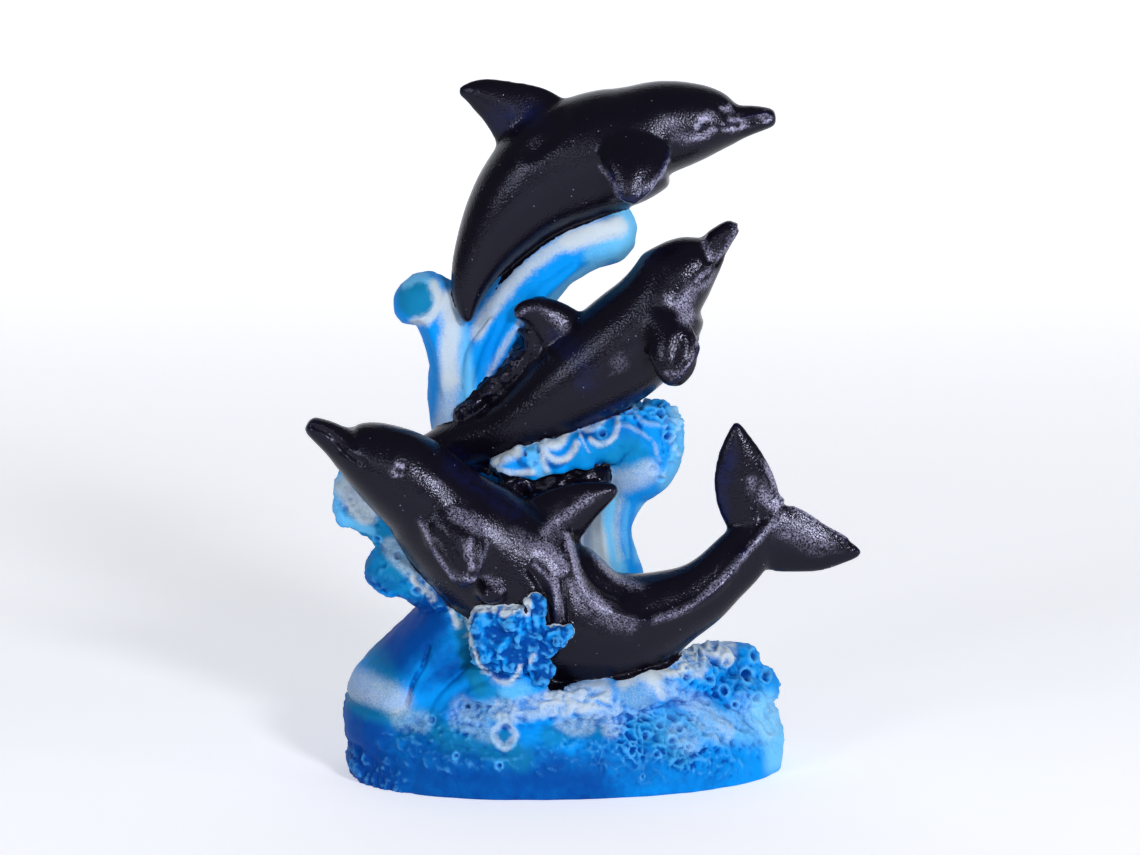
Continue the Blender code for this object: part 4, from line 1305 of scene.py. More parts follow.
# The paint. Azure covers the water, airbrushed with deeper blue, teal, pale blue and white; white is dragged
# over the rims of the foam, and black runs over the water along the dolphins. Part of it is painted light:
# the deeper blue over the base's left side and bottom and in the cluster's hollows is partly painted shade,
# the darker pits and lighter rims of the foam are partly painted shade and painted highlight, the white on
# the right wave's stem is widened as a painted pool of light, and the lavender strokes on the dolphins are
# painted highlights.
WHITE = (
    ("front", 0.80, 0.8, 0.9, ((-16.0, 79.4), (-14.4, 82.2), (-12.2, 85.2), (-9.3, 88.9), (-5.5, 92.2),
                               (-1.1, 95.3), (4.2, 97.6), (8.7, 98.9))),
    ("front", 0.85, 1.3, 1.2, ((0.7, 96.0), (6.0, 97.8), (9.2, 98.6))),
    ("front", 0.90, 0.8, 1.8, ((-21.2, 85.4), (-20.4, 80.9), (-20.9, 76.4), (-20.8, 70.8))),
    ("front", 0.60, 0.8, 1.8, ((-20.8, 70.8), (-21.4, 65.3), (-22.6, 61.5))),
    ("front", 0.90, 0.4, 0.8, ((-23.7, 88.3), (-22.6, 85.4), (-24.3, 82.2), (-27.2, 81.3))),
    ("front", 0.50, 0.2, 0.6, ((-16.1, 65.4), (-14.1, 71.0), (-10.9, 77.4), (-6.4, 84.0))),
    ("front", 0.45, 0.2, 0.5, ((-13.9, 66.7), (-11.8, 72.1), (-8.8, 76.5))),
    ("both", 0.85, 1.3, 1.6, ((-39.1, 52.9), (-37.3, 50.3), (-35.4, 48.6))),
    ("front", 0.45, 1.2, 1.5, ((-30.8, 42.4), (-27.9, 40.0), (-26.3, 38.5))),
    ("front", 0.95, 0.5, 0.5, ((-26.8, 37.3), (-25.4, 35.1))),
    ("front", 0.95, 0.6, 0.5, ((-24.1, 36.9), (-23.7, 33.6))),
    ("front", 0.90, 0.3, 0.5, ((-22.1, 35.7), (-20.5, 32.7), (-19.2, 29.5))),
    ("both", 0.54, 1.3, 2.2, ((-41.3, 16.6), (-39.3, 16.9), (-35.7, 17.3), (-32.4, 16.8), (-29.6, 15.9))),
    ("front", 0.22, 1.0, 1.4, ((-29.4, 13.4), (-28.9, 12.4), (-27.1, 12.7), (-25.4, 12.5))),
    ("front", 0.24, 0.9, 1.6, ((-18.1, 15.7), (-15.1, 15.0), (-11.6, 16.0))),
    ("front", 0.55, 1.2, 1.5, ((-11.0, 15.1), (-6.3, 16.0), (-1.0, 16.9))),
    ("front", 0.75, 1.5, 1.5, ((-1.9, 16.7), (1.6, 17.3), (5.9, 18.3))),
    ("front", 0.45, 1.2, 1.6, ((4.2, 16.0), (8.1, 14.8), (8.2, 12.6))),
    ("front", 0.25, 0.8, 1.6, ((-19.0, 13.5), (-15.9, 12.5), (-13.6, 11.6))),
    ("front", 0.85, 0.4, 0.7, ((9.8, 19.6), (13.0, 21.0), (15.6, 19.7), (16.9, 17.2))),
    ("front", 0.25, 1.6, 1.8, ((10.9, 17.5), (13.0, 15.9), (14.7, 18.1))),
    ("front", 0.38, 0.7, 2.1, ((14.8, 21.1), (18.0, 18.4), (22.0, 15.2), (24.6, 12.8), (28.2, 10.1))),
    ("front", 0.08, 0.8, 2.0, ((24.5, 10.4), (30.9, 8.8), (35.7, 7.5))),
    ("front", 0.95, 1.5, 1.2, ((16.6, 22.0), (20.2, 22.6), (24.0, 24.0), (26.9, 22.9), (28.8, 21.9))),
    ("front", 0.60, 0.7, 1.0, ((20.8, 21.0), (24.0, 20.4))),
    ("front", 0.90, 1.0, 1.0, ((14.5, 22.6), (18.0, 24.2), (22.0, 25.2), (25.5, 25.4))),
    ("front", 0.40, 0.8, 1.4, ((-0.5, 13.4), (1.6, 12.6), (3.8, 12.8))),
    ("front", 0.18, 1.2, 2.4, ((31.6, 13.0), (34.8, 11.4), (37.6, 9.0))),
    ("front", 0.25, 0.7, 1.6, ((19.6, 10.8), (22.2, 8.4))),
    # Widened over the stem's light blue, this white is partly a painted pool of light where the lower
    # dolphin's fin shades the right wave's stem.
    ("front", 0.95, 2.0, 1.2, ((3.4, 51.2), (3.8, 45.7), (4.6, 41.4), (5.4, 36.4))),
    ("front", 0.45, 0.2, 0.8, ((9.6, 49.4), (9.0, 44.0), (9.6, 38.6))),
    ("front", 0.55, 1.1, 2.2, ((7.7, 52.6), (12.2, 53.9), (14.4, 55.0))),
    ("front", 0.95, 0.5, 0.5, ((-17.4, 31.4), (-16.6, 33.0), (-15.0, 33.6), (-12.6, 33.6))),
    ("front", 0.95, 0.5, 0.5, ((-10.8, 33.0), (-8.2, 34.4), (-6.8, 35.2), (-6.9, 33.2))),
    ("front", 0.90, 0.2, 0.4, ((-17.4, 31.8), (-16.9, 28.6), (-15.8, 25.4), (-14.6, 22.6), (-12.2, 20.6))),
    ("front", 0.90, 0.2, 0.4, ((-12.1, 20.4), (-10.0, 20.2), (-8.6, 21.6), (-7.9, 23.4))),
    ("front", 0.60, 0.2, 0.4, ((-5.6, 25.6), (-6.2, 24.4))),
    ("front", 0.55, 0.3, 0.6, ((-8.7, 11.3), (-10.7, 13.4), (-12.7, 11.3), (-10.7, 9.2), (-8.7, 11.3))),
    ("back", 0.80, 0.8, 2.2, ((-16.0, 78.0), (-12.4, 86.0), (-5.0, 93.6), (6.0, 99.4))),
    ("back", 0.55, 0.4, 2.8, ((-21.4, 86.0), (-20.8, 74.0), (-18.6, 60.0), (-16.6, 44.0), (-15.0, 26.0))),
    ("back", 0.45, 0.3, 2.4, ((-12.6, 82.0), (-12.0, 68.0), (-9.0, 52.0), (-6.0, 38.0))),
    ("back", 0.50, 0.4, 3.4, ((-34.0, 13.0), (-10.0, 16.0), (14.0, 16.0), (32.0, 14.0))),
)
PALE = (
    ("front", 0.60, 0.8, 0.8, ((-6.1, 59.6), (-5.2, 56.8), (-3.7, 55.2))),
    ("front", 1.00, 1.6, 1.8, ((10.4, 100.4), (11.8, 97.4), (11.0, 94.2))),
    ("front", 0.75, 1.4, 1.4, ((5.4, 93.8), (8.6, 94.6))),
    ("front", 0.75, 0.5, 1.2, ((6.1, 91.7), (2.5, 89.4), (-1.1, 86.3), (-4.4, 83.0))),
    ("front", 0.80, 0.4, 0.6, ((-28.8, 88.0), (-26.1, 89.3), (-23.2, 88.2))),
    ("front", 0.80, 0.7, 1.3, ((-18.9, 79.9), (-17.9, 72.8), (-17.7, 67.4), (-19.0, 62.5))),
    ("front", 0.95, 2.0, 1.4, ((6.9, 50.1), (6.1, 44.9), (6.9, 40.4), (8.2, 36.6))),
    ("front", 0.80, 0.6, 1.0, ((13.9, 47.5), (13.2, 43.0), (13.3, 38.4))),
    ("front", 0.55, 0.15, 0.5, ((11.0, 49.0), (10.6, 44.0), (11.2, 38.6))),
    ("front", 0.75, 0.9, 1.6, ((18.3, 52.5), (19.7, 55.7), (20.8, 60.3), (20.0, 65.0))),
    ("both", 0.90, 1.4, 2.4, ((35.5, 12.0), (38.0, 7.4), (38.4, 2.6))),
    ("both", 0.70, 0.5, 1.0, ((-40.2, 54.1), (-40.6, 48.4), (-38.3, 46.6), (-34.7, 45.3))),
    ("front", 0.35, 1.2, 2.4, ((23.7, 12.3), (29.1, 10.2), (34.7, 8.9))),
    ("front", 0.60, 1.0, 1.4, ((-7.7, 19.0), (-10.0, 18.6))),
    ("front", 0.20, 1.6, 2.4, ((18.0, 13.0), (21.0, 9.0))),
    ("back", 0.60, 0.8, 4.0, ((-5.0, 76.0), (-2.6, 62.0), (1.6, 46.0), (3.6, 30.0))),
    ("back", 0.60, 0.6, 3.0, ((11.0, 66.0), (8.4, 52.0), (10.6, 38.0), (12.0, 22.0))),
    ("back", 0.50, 0.5, 2.6, ((-17.4, 76.0), (-15.6, 58.0), (-12.4, 40.0), (-10.4, 26.0))),
)
# Deeper blue. The broad strokes over the base's left side and along its bottom are partly painted shade,
# darker where less light falls; the rest is the deeper blue of the paint.
DEEP_AND_SHADE = (
    ("front", 0.60, 1.5, 2.4, ((-1.5, 5.6), (4.5, 5.2))),
    ("front", 0.75, 0.3, 0.5, ((-4.4, 59.3), (-3.5, 57.3), (-1.6, 56.8), (0.6, 58.4), (1.8, 60.2))),
    ("front", 0.70, 0.4, 0.6, ((3.2, 62.2), (5.1, 61.7), (7.0, 62.2))),
    ("front", 0.70, 0.3, 0.5, ((-8.4, 58.0), (-7.9, 57.0), (-6.6, 56.5))),
    ("both", 0.95, 2.2, 4.2, ((-24.5, 30.2), (-28.1, 27.1), (-30.9, 23.7))),
    ("front", 0.60, 0.5, 1.6, ((-24.8, 18.8), (-21.3, 21.2), (-17.3, 23.8), (-15.3, 27.9))),
    ("front", 0.45, 0.5, 1.4, ((-22.1, 14.5), (-19.0, 16.7), (-15.4, 18.8))),
    ("front", 0.55, 1.6, 3.0, ((-22.6, 24.6), (-20.4, 22.4), (-18.0, 24.0))),
    ("front", 0.90, 0.15, 0.35, CRACK),
    ("front", 0.45, 1.4, 2.4, ((-26.0, 9.4), (-22.0, 9.8), (-17.0, 9.0))),
    ("front", 0.40, 0.8, 2.0, ((18.0, 13.2), (22.0, 11.0))),
    ("front", 0.60, 1.4, 2.0, ((-34.6, 38.4), (-32.0, 36.6))),
    ("both", 0.90, 2.9, 4.5, ((-36.2, 11.5), (-36.7, 7.1), (-35.2, 2.5))),
    ("front", 0.85, 2.4, 6.5, ((-37.2, 1.0), (-23.9, 0.5), (-11.5, 0.5), (4.0, 0.0))),
    ("front", 0.35, 1.4, 5.5, ((4.0, 1.0), (16.0, 2.0), (26.0, 3.0))),
    ("front", 0.65, 2.0, 3.4, ((-34.2, 9.4), (-25.1, 7.2), (-15.0, 6.4), (-4.0, 6.0))),
    ("front", 0.50, 0.9, 2.2, ((30.1, 19.8), (31.2, 17.3))),
    ("front", 0.50, 1.8, 2.6, ((5.7, 9.4), (10.0, 8.0), (13.0, 5.6))),
    ("front", 0.45, 1.6, 2.6, ((15.0, 10.0), (20.0, 7.4))),
    ("front", 0.60, 0.7, 1.4, ((-35.2, 37.1), (-32.6, 36.0), (-30.0, 36.9))),
    ("front", 0.55, 1.1, 2.8, ((-15.7, 62.5), (-12.6, 66.6))),
    ("front", 0.50, 1.2, 2.4, ((-11.0, 72.0), (-5.0, 80.0))),
    ("front", 0.55, 0.5, 0.9, ((16.8, 65.8), (18.2, 64.7))),
    ("front", 0.55, 0.5, 0.9, ((17.4, 62.1), (18.7, 60.6))),
    ("front", 0.40, 0.7, 1.6, ((9.9, 62.4), (12.2, 61.7))),
    ("back", 0.90, 2.5, 4.0, ((-36.0, 3.0), (0.0, 2.0), (36.0, 3.0))),
    ("back", 0.80, 2.0, 3.5, ((-24.0, 22.0), (-20.0, 32.0))),
    ("back", 0.60, 0.5, 3.0, ((-14.4, 70.0), (-11.6, 54.0), (-8.2, 40.0), (-7.4, 26.0))),
    ("back", 0.55, 0.5, 3.0, ((2.6, 64.0), (5.0, 48.0), (7.0, 34.0), (7.4, 24.0))),
    ("back", 0.50, 0.5, 2.4, ((-19.6, 70.0), (-19.0, 52.0), (-18.6, 36.0))),
)
TEAL = (
    ("front", 0.40, 1.0, 2.0, ((3.0, 58.4), (7.0, 59.6), (11.0, 60.0))),
    ("front", 0.70, 0.5, 0.9, ((-10.7, 11.3),)),
    ("front", 0.50, 0.9, 1.6, ((-17.0, 15.0), (-12.0, 14.4))),
    ("front", 0.95, 2.9, 1.4, ((-26.6, 85.6),)),
    ("front", 0.90, 0.9, 1.5, ((-18.8, 33.4), (-17.9, 28.3), (-16.9, 23.0), (-15.0, 19.9))),
    ("front", 0.60, 0.9, 1.6, ((-14.7, 18.5), (-11.2, 17.5))),
    ("both", 0.60, 0.7, 3.4, ((-34.8, 22.3), (-33.0, 20.6), (-31.5, 19.0))),
    ("both", 0.70, 0.7, 1.6, ((-39.0, 14.4), (-34.0, 13.6), (-30.0, 13.2))),
    ("front", 0.60, 1.1, 1.8, ((-33.6, 39.1), (-30.1, 36.3), (-27.2, 35.5))),
    ("both", 0.85, 1.8, 2.0, ((-37.0, 47.6), (-32.1, 43.4), (-29.7, 40.4), (-27.2, 40.0))),
    ("front", 0.60, 1.3, 2.2, ((-21.0, 10.6), (-14.7, 10.0), (-8.0, 7.5))),
    ("front", 0.60, 0.9, 1.8, ((-2.6, 11.2), (2.4, 12.6), (5.5, 12.2))),
    ("front", 0.60, 1.6, 3.2, ((9.8, 57.1), (12.0, 58.2))),
    ("front", 0.45, 1.2, 1.6, ((11.4, 17.8), (13.4, 16.6))),
    ("front", 0.60, 1.2, 2.2, ((-28.6, 12.4), (-24.0, 12.4))),
    ("front", 0.45, 0.1, 0.4, ((8.0, 93.3), (5.7, 95.5), (3.5, 93.3), (5.7, 91.1), (8.0, 93.3))),
    ("front", 0.35, 0.1, 0.4, ((10.6, 94.6), (8.9, 96.2), (7.4, 94.6), (8.9, 93.0), (10.6, 94.6))),
    ("front", 0.50, 1.0, 2.0, ((13.0, 12.2), (18.0, 9.4), (20.0, 6.6))),
)
BLACKED = (
    ("front", 1.00, 1.2, 0.6, ((-18.0, 57.0), (-14.6, 55.6), (-12.6, 55.0))),
    ("front", 0.40, 0.4, 0.6, ((-15.0, 81.6), (-12.7, 86.3), (-9.3, 91.0), (-4.6, 95.0), (0.7, 98.3),
                               (6.0, 100.8), (11.0, 102.6))),
    ("front", 1.00, 1.1, 0.6, ((-12.6, 55.0), (-9.8, 53.6), (-5.4, 52.8), (-1.1, 54.0), (4.3, 54.4))),
    ("front", 0.35, 0.4, 0.6, ((-39.7, 54.9), (-35.6, 52.9), (-31.6, 48.2), (-28.2, 43.8), (-24.7, 39.3),
                               (-20.8, 34.3))),
    ("front", 0.35, 0.4, 0.7, ((-2.8, 18.6), (6.0, 19.0), (13.0, 20.6), (20.2, 23.1), (23.4, 27.0))),
    ("front", 1.00, 0.7, 0.5, ((-7.4, 19.0), (-3.7, 18.7), (-1.1, 18.9))),
    ("front", 0.50, 0.3, 0.4, ((-6.9, 33.4), (-6.2, 32.1), (-5.7, 30.2))),
)
BLACK_REACH = 3.0
NAVY = (
    ("front", 0.45, 0.15, 0.4, ((7.6, 108.9), (8.9, 106.2), (10.3, 103.4), (10.9, 101.8))),
    ("front", 0.45, 0.15, 0.4, ((18.1, 112.0), (17.0, 108.6), (15.2, 106.0), (12.6, 105.2), (10.4, 103.8))),
    ("front", 0.25, 0.6, 1.6, ((-20.0, 58.0), (-14.0, 53.6), (-9.0, 50.2))),
    ("front", 0.50, 0.4, 1.0, ((29.6, 59.0), (27.6, 53.0), (28.0, 47.0))),
    ("both", 0.40, 0.6, 1.6, ((18.0, 70.5), (10.0, 67.0), (2.0, 62.0))),
    ("both", 0.40, 0.5, 1.4, ((-2.0, 79.0), (2.0, 76.0), (4.0, 71.0))),
    ("both", 0.40, 0.5, 1.4, ((16.0, 104.0), (10.0, 101.0))),
    ("both", 0.35, 0.8, 2.4, ((4.0, 88.6), (14.0, 95.0))),
    ("both", 0.30, 0.8, 2.4, ((-12.0, 117.6), (-6.0, 118.6))),
)
# Painted highlights: lavender strokes laid where light glints on the dolphins' gloss, along the lower one's
# flank, folds, ridges and flukes, on the middle one's head and paddle, and at the eyes, mouths and beaks.
PAINTED_HIGHLIGHTS = (
    ("front", 0.80, 0.15, 0.35, ((-29.2, 58.8), (-28.4, 58.5))),
    ("front", 0.35, 0.10, 0.30, ((-30.2, 57.6), (-29.2, 57.0), (-28.2, 57.2))),
    ("front", 0.30, 0.20, 0.80, ((-23.2, 55.9), (-22.2, 55.2))),
    ("front", 0.34, 0.50, 0.90, ((-19.5, 50.4), (-17.0, 49.2), (-14.0, 47.3), (-11.2, 45.5))),
    ("front", 0.14, 0.40, 1.40, ((-8.4, 45.8), (-5.4, 44.4), (-1.6, 45.6))),
    ("front", 0.30, 0.30, 0.90, ((-3.7, 46.3), (0.6, 49.0), (3.9, 51.3))),
    ("front", 0.45, 0.90, 1.10, ((-4.2, 43.0), (-2.4, 41.8), (-1.1, 40.2))),
    ("front", 0.40, 0.15, 0.40, ((-5.6, 41.1), (-3.7, 39.5), (-1.7, 37.7))),
    ("front", 0.70, 0.25, 0.45, ((0.2, 45.1), (1.1, 42.7), (1.9, 40.1), (2.4, 38.2))),
    ("front", 0.50, 0.35, 0.60, ((2.4, 38.2), (3.3, 36.6), (5.1, 34.5), (7.2, 32.9))),
    ("front", 0.40, 0.30, 0.60, ((0.9, 37.6), (1.9, 35.5), (3.0, 33.5))),
    ("front", 0.50, 0.35, 0.50, ((-2.1, 38.6), (-1.6, 36.2), (-1.2, 33.6))),
    ("front", 0.22, 0.30, 1.60, ((4.6, 34.4), (7.6, 31.4), (11.0, 30.2))),
    ("front", 0.30, 0.20, 0.60, ((4.4, 42.6), (6.4, 39.6), (9.4, 37.2), (12.6, 36.2))),
    ("front", 0.40, 0.15, 0.50, ((37.1, 46.9), (34.4, 43.8), (31.7, 41.0), (28.4, 37.6), (25.4, 35.1))),
    ("front", 0.28, 0.15, 0.60, ((25.4, 35.1), (21.0, 32.2), (16.0, 30.8))),
    ("front", 0.50, 0.50, 0.90, ((32.8, 53.4), (35.0, 51.4), (37.1, 49.5))),
    ("front", 0.45, 0.20, 0.50, ((35.5, 56.6), (37.2, 53.4), (38.4, 50.2))),
    ("front", 0.65, 0.15, 0.40, ((38.6, 50.0), (44.3, 47.1), (49.7, 43.9))),
    ("front", 0.24, 0.90, 1.90, ((38.6, 46.0), (41.8, 44.6), (45.1, 42.6))),
    ("front", 0.45, 0.80, 1.00, ((21.4, 87.1), (20.7, 85.4), (21.4, 83.4))),
    ("front", 0.25, 0.30, 1.00, ((17.9, 86.2), (19.3, 85.6))),
    ("front", 0.50, 0.18, 0.35, ((22.8, 89.2), (24.1, 90.7), (25.3, 91.4))),
    ("front", 0.40, 0.18, 0.35, ((23.5, 88.3), (25.2, 89.4), (26.1, 90.9))),
    ("front", 0.50, 0.10, 0.35, ((23.0, 79.3), (22.2, 77.0), (20.6, 74.2))),
    ("front", 0.40, 0.15, 0.30, ((17.8, 73.5), (18.7, 74.0), (19.7, 73.7))),
    ("front", 0.20, 0.30, 0.70, ((9.0, 75.8), (9.5, 74.7))),
    ("front", 0.26, 0.30, 0.90, ((-2.8, 83.1), (-1.4, 82.2), (-0.2, 80.8))),
    ("front", 0.80, 0.18, 0.32, ((22.9, 116.4), (23.8, 117.7), (25.6, 118.3))),
    ("front", 0.70, 0.18, 0.32, ((22.9, 115.0), (24.0, 114.6), (25.6, 115.8))),
    ("front", 0.65, 0.16, 0.30, ((27.7, 115.8), (29.2, 115.8), (31.2, 116.2), (31.5, 116.9), (30.2, 117.5),
                                 (28.6, 117.7))),
    ("front", 0.70, 0.15, 0.40, ((27.4, 119.4), (28.8, 119.6))),
    ("front", 0.60, 0.14, 0.28, ((34.1, 117.8), (35.2, 118.3), (36.1, 117.8), (35.2, 117.1), (34.1, 117.8))),
    ("front", 0.40, 0.15, 0.40, ((17.9, 110.5), (16.9, 108.2), (14.8, 106.2), (13.2, 105.7))),
    ("front", 0.22, 0.40, 1.10, ((18.5, 117.3), (19.3, 115.2), (21.4, 114.4))),
    ("front", 0.36, 0.15, 0.35, ((-25.2, 48.6), (-23.2, 44.9), (-20.9, 41.4), (-19.2, 39.2))),
    ("front", 0.45, 0.15, 0.35, ((-18.0, 39.6), (-15.5, 39.2))),
    ("front", 0.24, 0.15, 0.35, ((-13.5, 45.1), (-14.0, 43.6), (-14.9, 41.6))),
    ("front", 0.55, 0.20, 0.40, ((-16.4, 45.9), (-16.5, 44.0), (-16.2, 41.3))),
    ("front", 0.30, 0.15, 0.35, ((-17.3, 45.6), (-16.9, 42.7))),
    ("front", 0.45, 0.20, 0.45, ((-13.7, 38.9), (-12.3, 38.0), (-11.1, 36.9))),
    ("front", 0.20, 0.10, 0.35, ((8.7, 106.1), (14.4, 106.4))),
    ("front", 0.21, 0.10, 0.35, ((5.9, 109.6), (8.0, 107.0), (9.5, 103.4))),
    ("front", 0.30, 0.10, 0.35, ((24.1, 97.2), (24.5, 95.2), (25.3, 93.1))),
    ("front", 0.30, 0.10, 0.35, ((26.4, 92.9), (27.5, 94.4), (29.2, 96.5), (30.2, 99.2))),
    ("front", 0.24, 0.10, 0.35, ((-8.9, 83.0), (-6.4, 84.4), (-3.7, 84.1))),
)

# Lighter blue on the foam's raised rims and darker blue in its pits and bubble hollows, taken from the
# skin's own relief: part dry-brushed paint, part painted highlight and painted shade.
rims = ramp(rise, 0.05, 0.22)
pits = ramp(rise, -0.05, -0.25)
foamy = honeycomb + churned * 0.8 + streaked * 0.7 + near["heap"] + near["curl"] * 0.4 + near["cluster"]
foamy = np.clip(foamy, 0.0, 1.0)
outline = ramp(seam, 0.85, 0.35) * ramp(seam, -0.1, 0.1) * near["cluster"]
white = brushed(WHITE)
# White is kept off the foam's pits, part of their painted shade.
dragged = white * (1.0 - 0.75 * pits * foamy) * (1.0 - 0.5 * foamy * lost)
shaded_pits_and_hollows = pits * np.clip(foamy + near["fringe"], 0.0, 1.0) + hollows * 0.7
paint = {
    "seam": seam - BLACK_REACH * brushed(BLACKED) * (1.0 - ribbons),
    "white": np.clip(dragged + ribbons + outline, 0.0, 1.0),
    "pale": brushed(PALE),
    # Deeper blue, also in the low places of the cluster's churned relief: partly painted shade in its
    # hollows.
    "deep": np.maximum(brushed(DEEP_AND_SHADE), near["cluster"] * ramp(field["churn"], 0.62, 0.44) * 0.95),
    "teal": brushed(TEAL),
    "navy": np.clip(brushed(NAVY) + 0.35 * ramp(rise, 0.12, 0.35), 0.0, 1.0),
    # Lighter blue on raised rims and bubble rings, part painted highlight; darker blue in pits and hollows,
    # part painted shade.
    "rims": np.clip(foamy * rims * (0.5 + 0.1 * near["cluster"]) + rings * 0.6, 0.0, 1.0),
    "pits": np.clip(shaded_pits_and_hollows * (1.0 - 0.9 * white), 0.0, 1.0),
    "cellular": honeycomb * wet,
    # Painted highlights on the dolphins, broken up by fine noise.
    "glints": brushed(PAINTED_HIGHLIGHTS) * (0.5 + 0.7 * ramp(field["fine"], 0.36, 0.60)),
}
for name in field:
    mesh.attributes.remove(mesh.attributes[name])
for name, values in paint.items():
    attribute = mesh.attributes.new(name, "FLOAT", "POINT")
    attribute.data.foreach_set("value", values.astype(np.float32))

# The finished casting is thinned where the front's foam doesn't need it, freed of hollows inside and cut
# flat below.
MOST_TRIANGLES = 196000
keep = wet * facing["front"] * np.clip(foamy + near["fringe"] + ribbons + rings, 0.0, 1.0) > 0.3
thinned = casting.vertex_groups.new(name="thinned")
thinned.add(np.flatnonzero(~keep).tolist(), 1.0, "REPLACE")
triangles = sum(len(face.vertices) - 2 for face in mesh.polygons)
thin = casting.modifiers.new("Thinned skin", "DECIMATE")
thin.ratio = min(1.0, MOST_TRIANGLES / triangles)
thin.vertex_group = "thinned"
settle(casting)
casting.vertex_groups.clear()

skin = bmesh.new()
skin.from_mesh(casting.data)
cut = bmesh.ops.bisect_plane(
    skin,
    geom=[*skin.verts, *skin.edges, *skin.faces],
    plane_co=(0.0, 0.0, 0.0),
    plane_no=(0.0, 0.0, -1.0),
    clear_outer=True,
)
rim = [edge for edge in cut["geom_cut"] if isinstance(edge, bmesh.types.BMEdge)]
underside = bmesh.ops.holes_fill(skin, edges=rim, sides=0)
bmesh.ops.triangulate(skin, faces=underside["faces"])
skin.verts.ensure_lookup_table()
seen = set()
islands = []
for start in skin.verts:
    if start.index in seen:
        continue
    island = []
    waiting = [start]
    seen.add(start.index)
    while waiting:
        vert = waiting.pop()
        island.append(vert)
        for edge in vert.link_edges:
            other = edge.other_vert(vert)
            if other.index not in seen:
                seen.add(other.index)
                waiting.append(other)
    islands.append(island)
islands.sort(key=len)
for island in islands[:-1]:
    bmesh.ops.delete(skin, geom=island, context="VERTS")
skin.to_mesh(casting.data)
skin.free()
casting.data.shade_smooth()

for thing in targets.values():
    bpy.data.objects.remove(thing)


# The finish: satin water colours over one another and a glossy black with lavender painted highlights and
# specks of dust, both slightly grainy from the brush, with a fine stipple over all of it.
def paint_of(code):
    """A colour from its usual six-figure code, in Blender's linear values."""
    parts = [int(code[i : i + 2], 16) / 255 for i in (1, 3, 5)]
    return (*(part / 12.92 if part < 0.04045 else ((part + 0.055) / 1.055) ** 2.4 for part in parts), 1.0)


AZURE = paint_of("#008ce2")
DEEP_BLUE = paint_of("#003f90")
TEAL_BLUE = paint_of("#0e76a2")
# Pit blue is partly painted shade in the foam's pits and hollows; rim blue partly painted highlight on its
# raised rims.
PIT_BLUE = paint_of("#004298")
RIM_BLUE = paint_of("#4aa8ea")
PALE_BLUE = paint_of("#6cc0f0")
FOAM_WHITE = paint_of("#c0ccd4")
DOLPHIN_BLACK = paint_of("#0c0913")
DOLPHIN_NAVY = paint_of("#0e1848")
# Lavender for the dolphins' painted highlights and for their specks of dust.
HIGHLIGHT_AND_DUST_LAVENDER = paint_of("#a4a2c0")
GRAIN_STRENGTH = 8.0
SPECK_SPACING = 1.7
RAGGEDNESS = 0.9
DOLPHIN_ROUGHNESS = (0.14, 0.24)
WATER_ROUGHNESS = 0.55
DOLPHIN_SHEEN = 0.27
WATER_SHEEN = 0.06
SHEEN_TINT = (0.74, 0.76, 1.0, 1.0)
STIPPLE_HEIGHT = 0.00014


def coat_tree():
    """A coat of paint over another: a mask, broken up by grain where it is thin, between two colours."""
    tree = new_group(
        "brushed_coat",
        "ShaderNodeTree",
        (
            ("Under", "Color"),
            ("Paint", "Color"),
            ("Amount", "Float"),
            ("Grain", "Float"),
            ("Graininess", "Float"),
        ),
        ("Colour", "Color"),
    )
    inside = add_node(tree, "NodeGroupInput").outputs
    grain = calculate(tree, "SUBTRACT", inside["Grain"], 0.5)
    grain = calculate(tree, "MULTIPLY", grain, inside["Graininess"])
    bare = calculate(tree, "SUBTRACT", 1.0, inside["Amount"])
    thin = calculate(tree, "MULTIPLY", inside["Amount"], bare)
    broken = calculate(tree, "MULTIPLY", grain, thin)
    total = calculate(tree, "MULTIPLY_ADD", broken, GRAIN_STRENGTH, inside["Amount"], use_clamp=True)
    mixed = add_node(
        tree,
        "ShaderNodeMix",
        {"Factor": total, "A": inside["Under"], "B": inside["Paint"]},
        data_type="RGBA",
    )
    add_node(tree, "NodeGroupOutput", {"Colour": mixed.outputs["Result"]})
    return tree


painted_resin.use_nodes = True
tree = painted_resin.node_tree
on_casting = add_node(tree, "ShaderNodeTexCoord").outputs["Object"]
brushed_coat = coat_tree()


def attribute_of(name, output="Fac"):
    """The value of one of the paint attributes."""
    return add_node(tree, "ShaderNodeAttribute", attribute_name=name).outputs[output]


def noise_of(size, detail):
    """Noise whose features are about size millimetres wide."""
    inputs = {"Vector": on_casting, "Scale": MM / size, "Detail": detail}
    return add_node(tree, "ShaderNodeTexNoise", inputs).outputs["Fac"]


def cells_of(size, feature, vector):
    """The distance of a cellular pattern whose cells are about size millimetres wide."""
    inputs = {"Vector": vector, "Scale": MM / size}
    return add_node(tree, "ShaderNodeTexVoronoi", inputs, feature=feature).outputs["Distance"]


def stepped(value, low, high, start=0.0, top=1.0):
    """Start at low and top at high, with the values between them in proportion."""
    inputs = {"Value": value, "From Min": low, "From Max": high, "To Min": start, "To Max": top}
    return add_node(tree, "ShaderNodeMapRange", inputs).outputs["Result"]


def mixed_by(factor, first, second, kind):
    """The first value where the factor is 0 and the second where it is 1."""
    inputs = {"Factor": factor, "A": first, "B": second}
    return add_node(tree, "ShaderNodeMix", inputs, data_type=kind).outputs["Result"]


def coat(under, colour, amount, grain, graininess):
    """Lays one coat over the colour below and gives the result."""
    inputs = {"Under": under, "Paint": colour, "Amount": amount, "Grain": grain, "Graininess": graininess}
    return add_node(tree, "ShaderNodeGroup", inputs, node_tree=brushed_coat).outputs["Colour"]


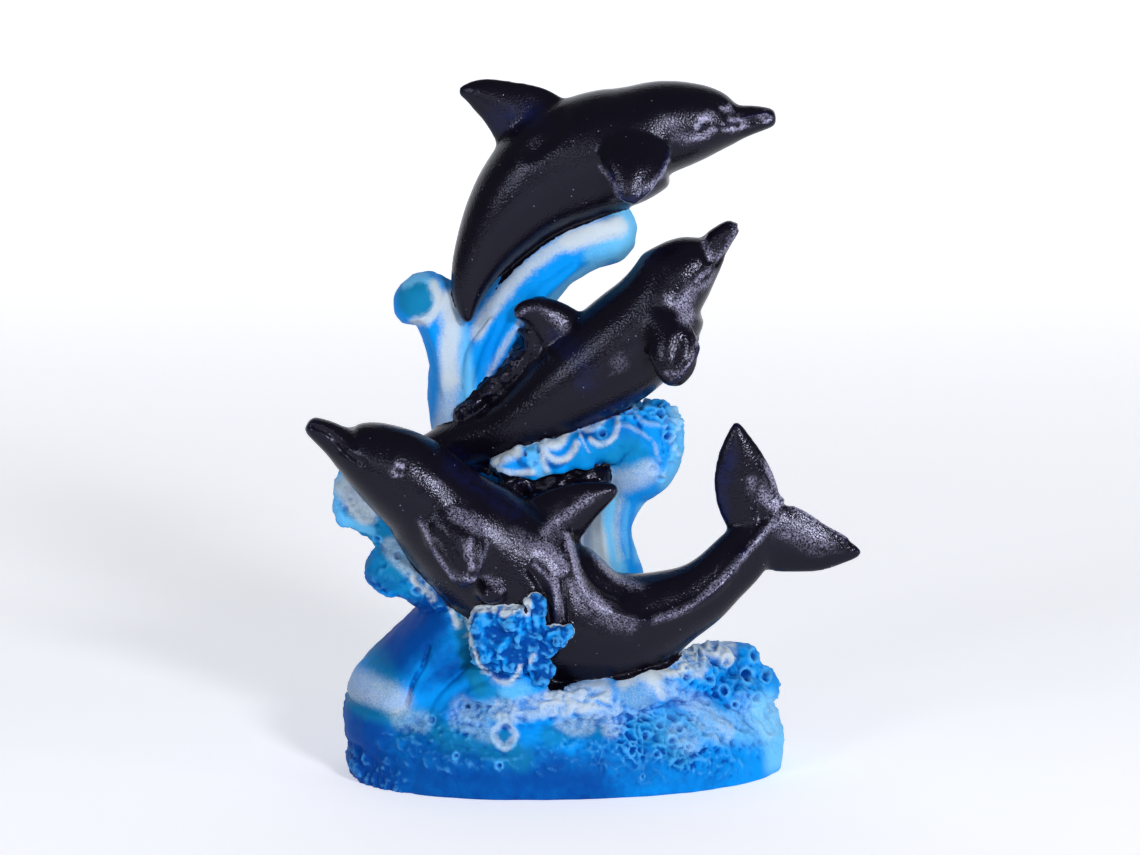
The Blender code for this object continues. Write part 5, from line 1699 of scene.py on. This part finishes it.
speckle = noise_of(0.30, 1.0)
brush = noise_of(1.6, 3.0)
sea = AZURE
for colour, paint_name, grain, graininess in (
    # Deeper blue, partly painted shade on the base's left and bottom and in the cluster's hollows.
    (DEEP_BLUE, "deep", brush, 0.4),
    (TEAL_BLUE, "teal", brush, 0.4),
    # Pit blue partly painted shade, rim blue partly painted highlight.
    (PIT_BLUE, "pits", brush, 0.4),
    (RIM_BLUE, "rims", brush, 0.8),
    (PALE_BLUE, "pale", speckle, 0.3),
    (FOAM_WHITE, "white", speckle, 0.4),
):
    sea = coat(sea, colour, attribute_of(paint_name), grain, graininess)
# Lighter rims along the cells' raised edges: part paint, part painted highlight.
cell_edge = cells_of(CELL_SIZE, "DISTANCE_TO_EDGE", attribute_of("stirred", "Vector"))
cell_rims = calculate(tree, "MULTIPLY", attribute_of("cellular"), stepped(cell_edge, 0.12, 0.01, top=0.28))
sea = coat(sea, RIM_BLUE, cell_rims, brush, 1.2)
body = coat(DOLPHIN_BLACK, DOLPHIN_NAVY, attribute_of("navy"), brush, 0.6)
# Lavender painted highlights over the black.
body = coat(body, HIGHLIGHT_AND_DUST_LAVENDER, attribute_of("glints"), speckle, 1.2)
# Sparse lavender specks of dust over the black.
specks = stepped(cells_of(SPECK_SPACING, "F1", on_casting), 0.085, 0.05, top=0.5)
specks = calculate(tree, "MULTIPLY", specks, stepped(brush, 0.45, 0.62))
body = coat(body, HIGHLIGHT_AND_DUST_LAVENDER, specks, speckle, 0.0)

ragged_seam = calculate(tree, "MULTIPLY_ADD", brush, -RAGGEDNESS, attribute_of("seam"))
dark = stepped(ragged_seam, -0.30, -0.38)
polish = stepped(noise_of(4.0, 2.0), 0.35, 0.65, *DOLPHIN_ROUGHNESS)
stipple = add_node(
    tree,
    "ShaderNodeBump",
    {"Strength": 0.5, "Distance": STIPPLE_HEIGHT, "Height": noise_of(0.36, 1.0)},
)
fill(
    tree,
    tree.nodes["Principled BSDF"],
    {
        "Base Color": mixed_by(dark, sea, body, "RGBA"),
        "Roughness": mixed_by(dark, WATER_ROUGHNESS, polish, "FLOAT"),
        "Specular IOR Level": stepped(dark, 0.0, 1.0, WATER_SHEEN, DOLPHIN_SHEEN),
        "Specular Tint": SHEEN_TINT,
        "Normal": stipple.outputs["Normal"],
    },
)

casting.data.materials.clear()
casting.data.materials.append(painted_resin)
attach(casting, "root")
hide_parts("dolphin_figurine")
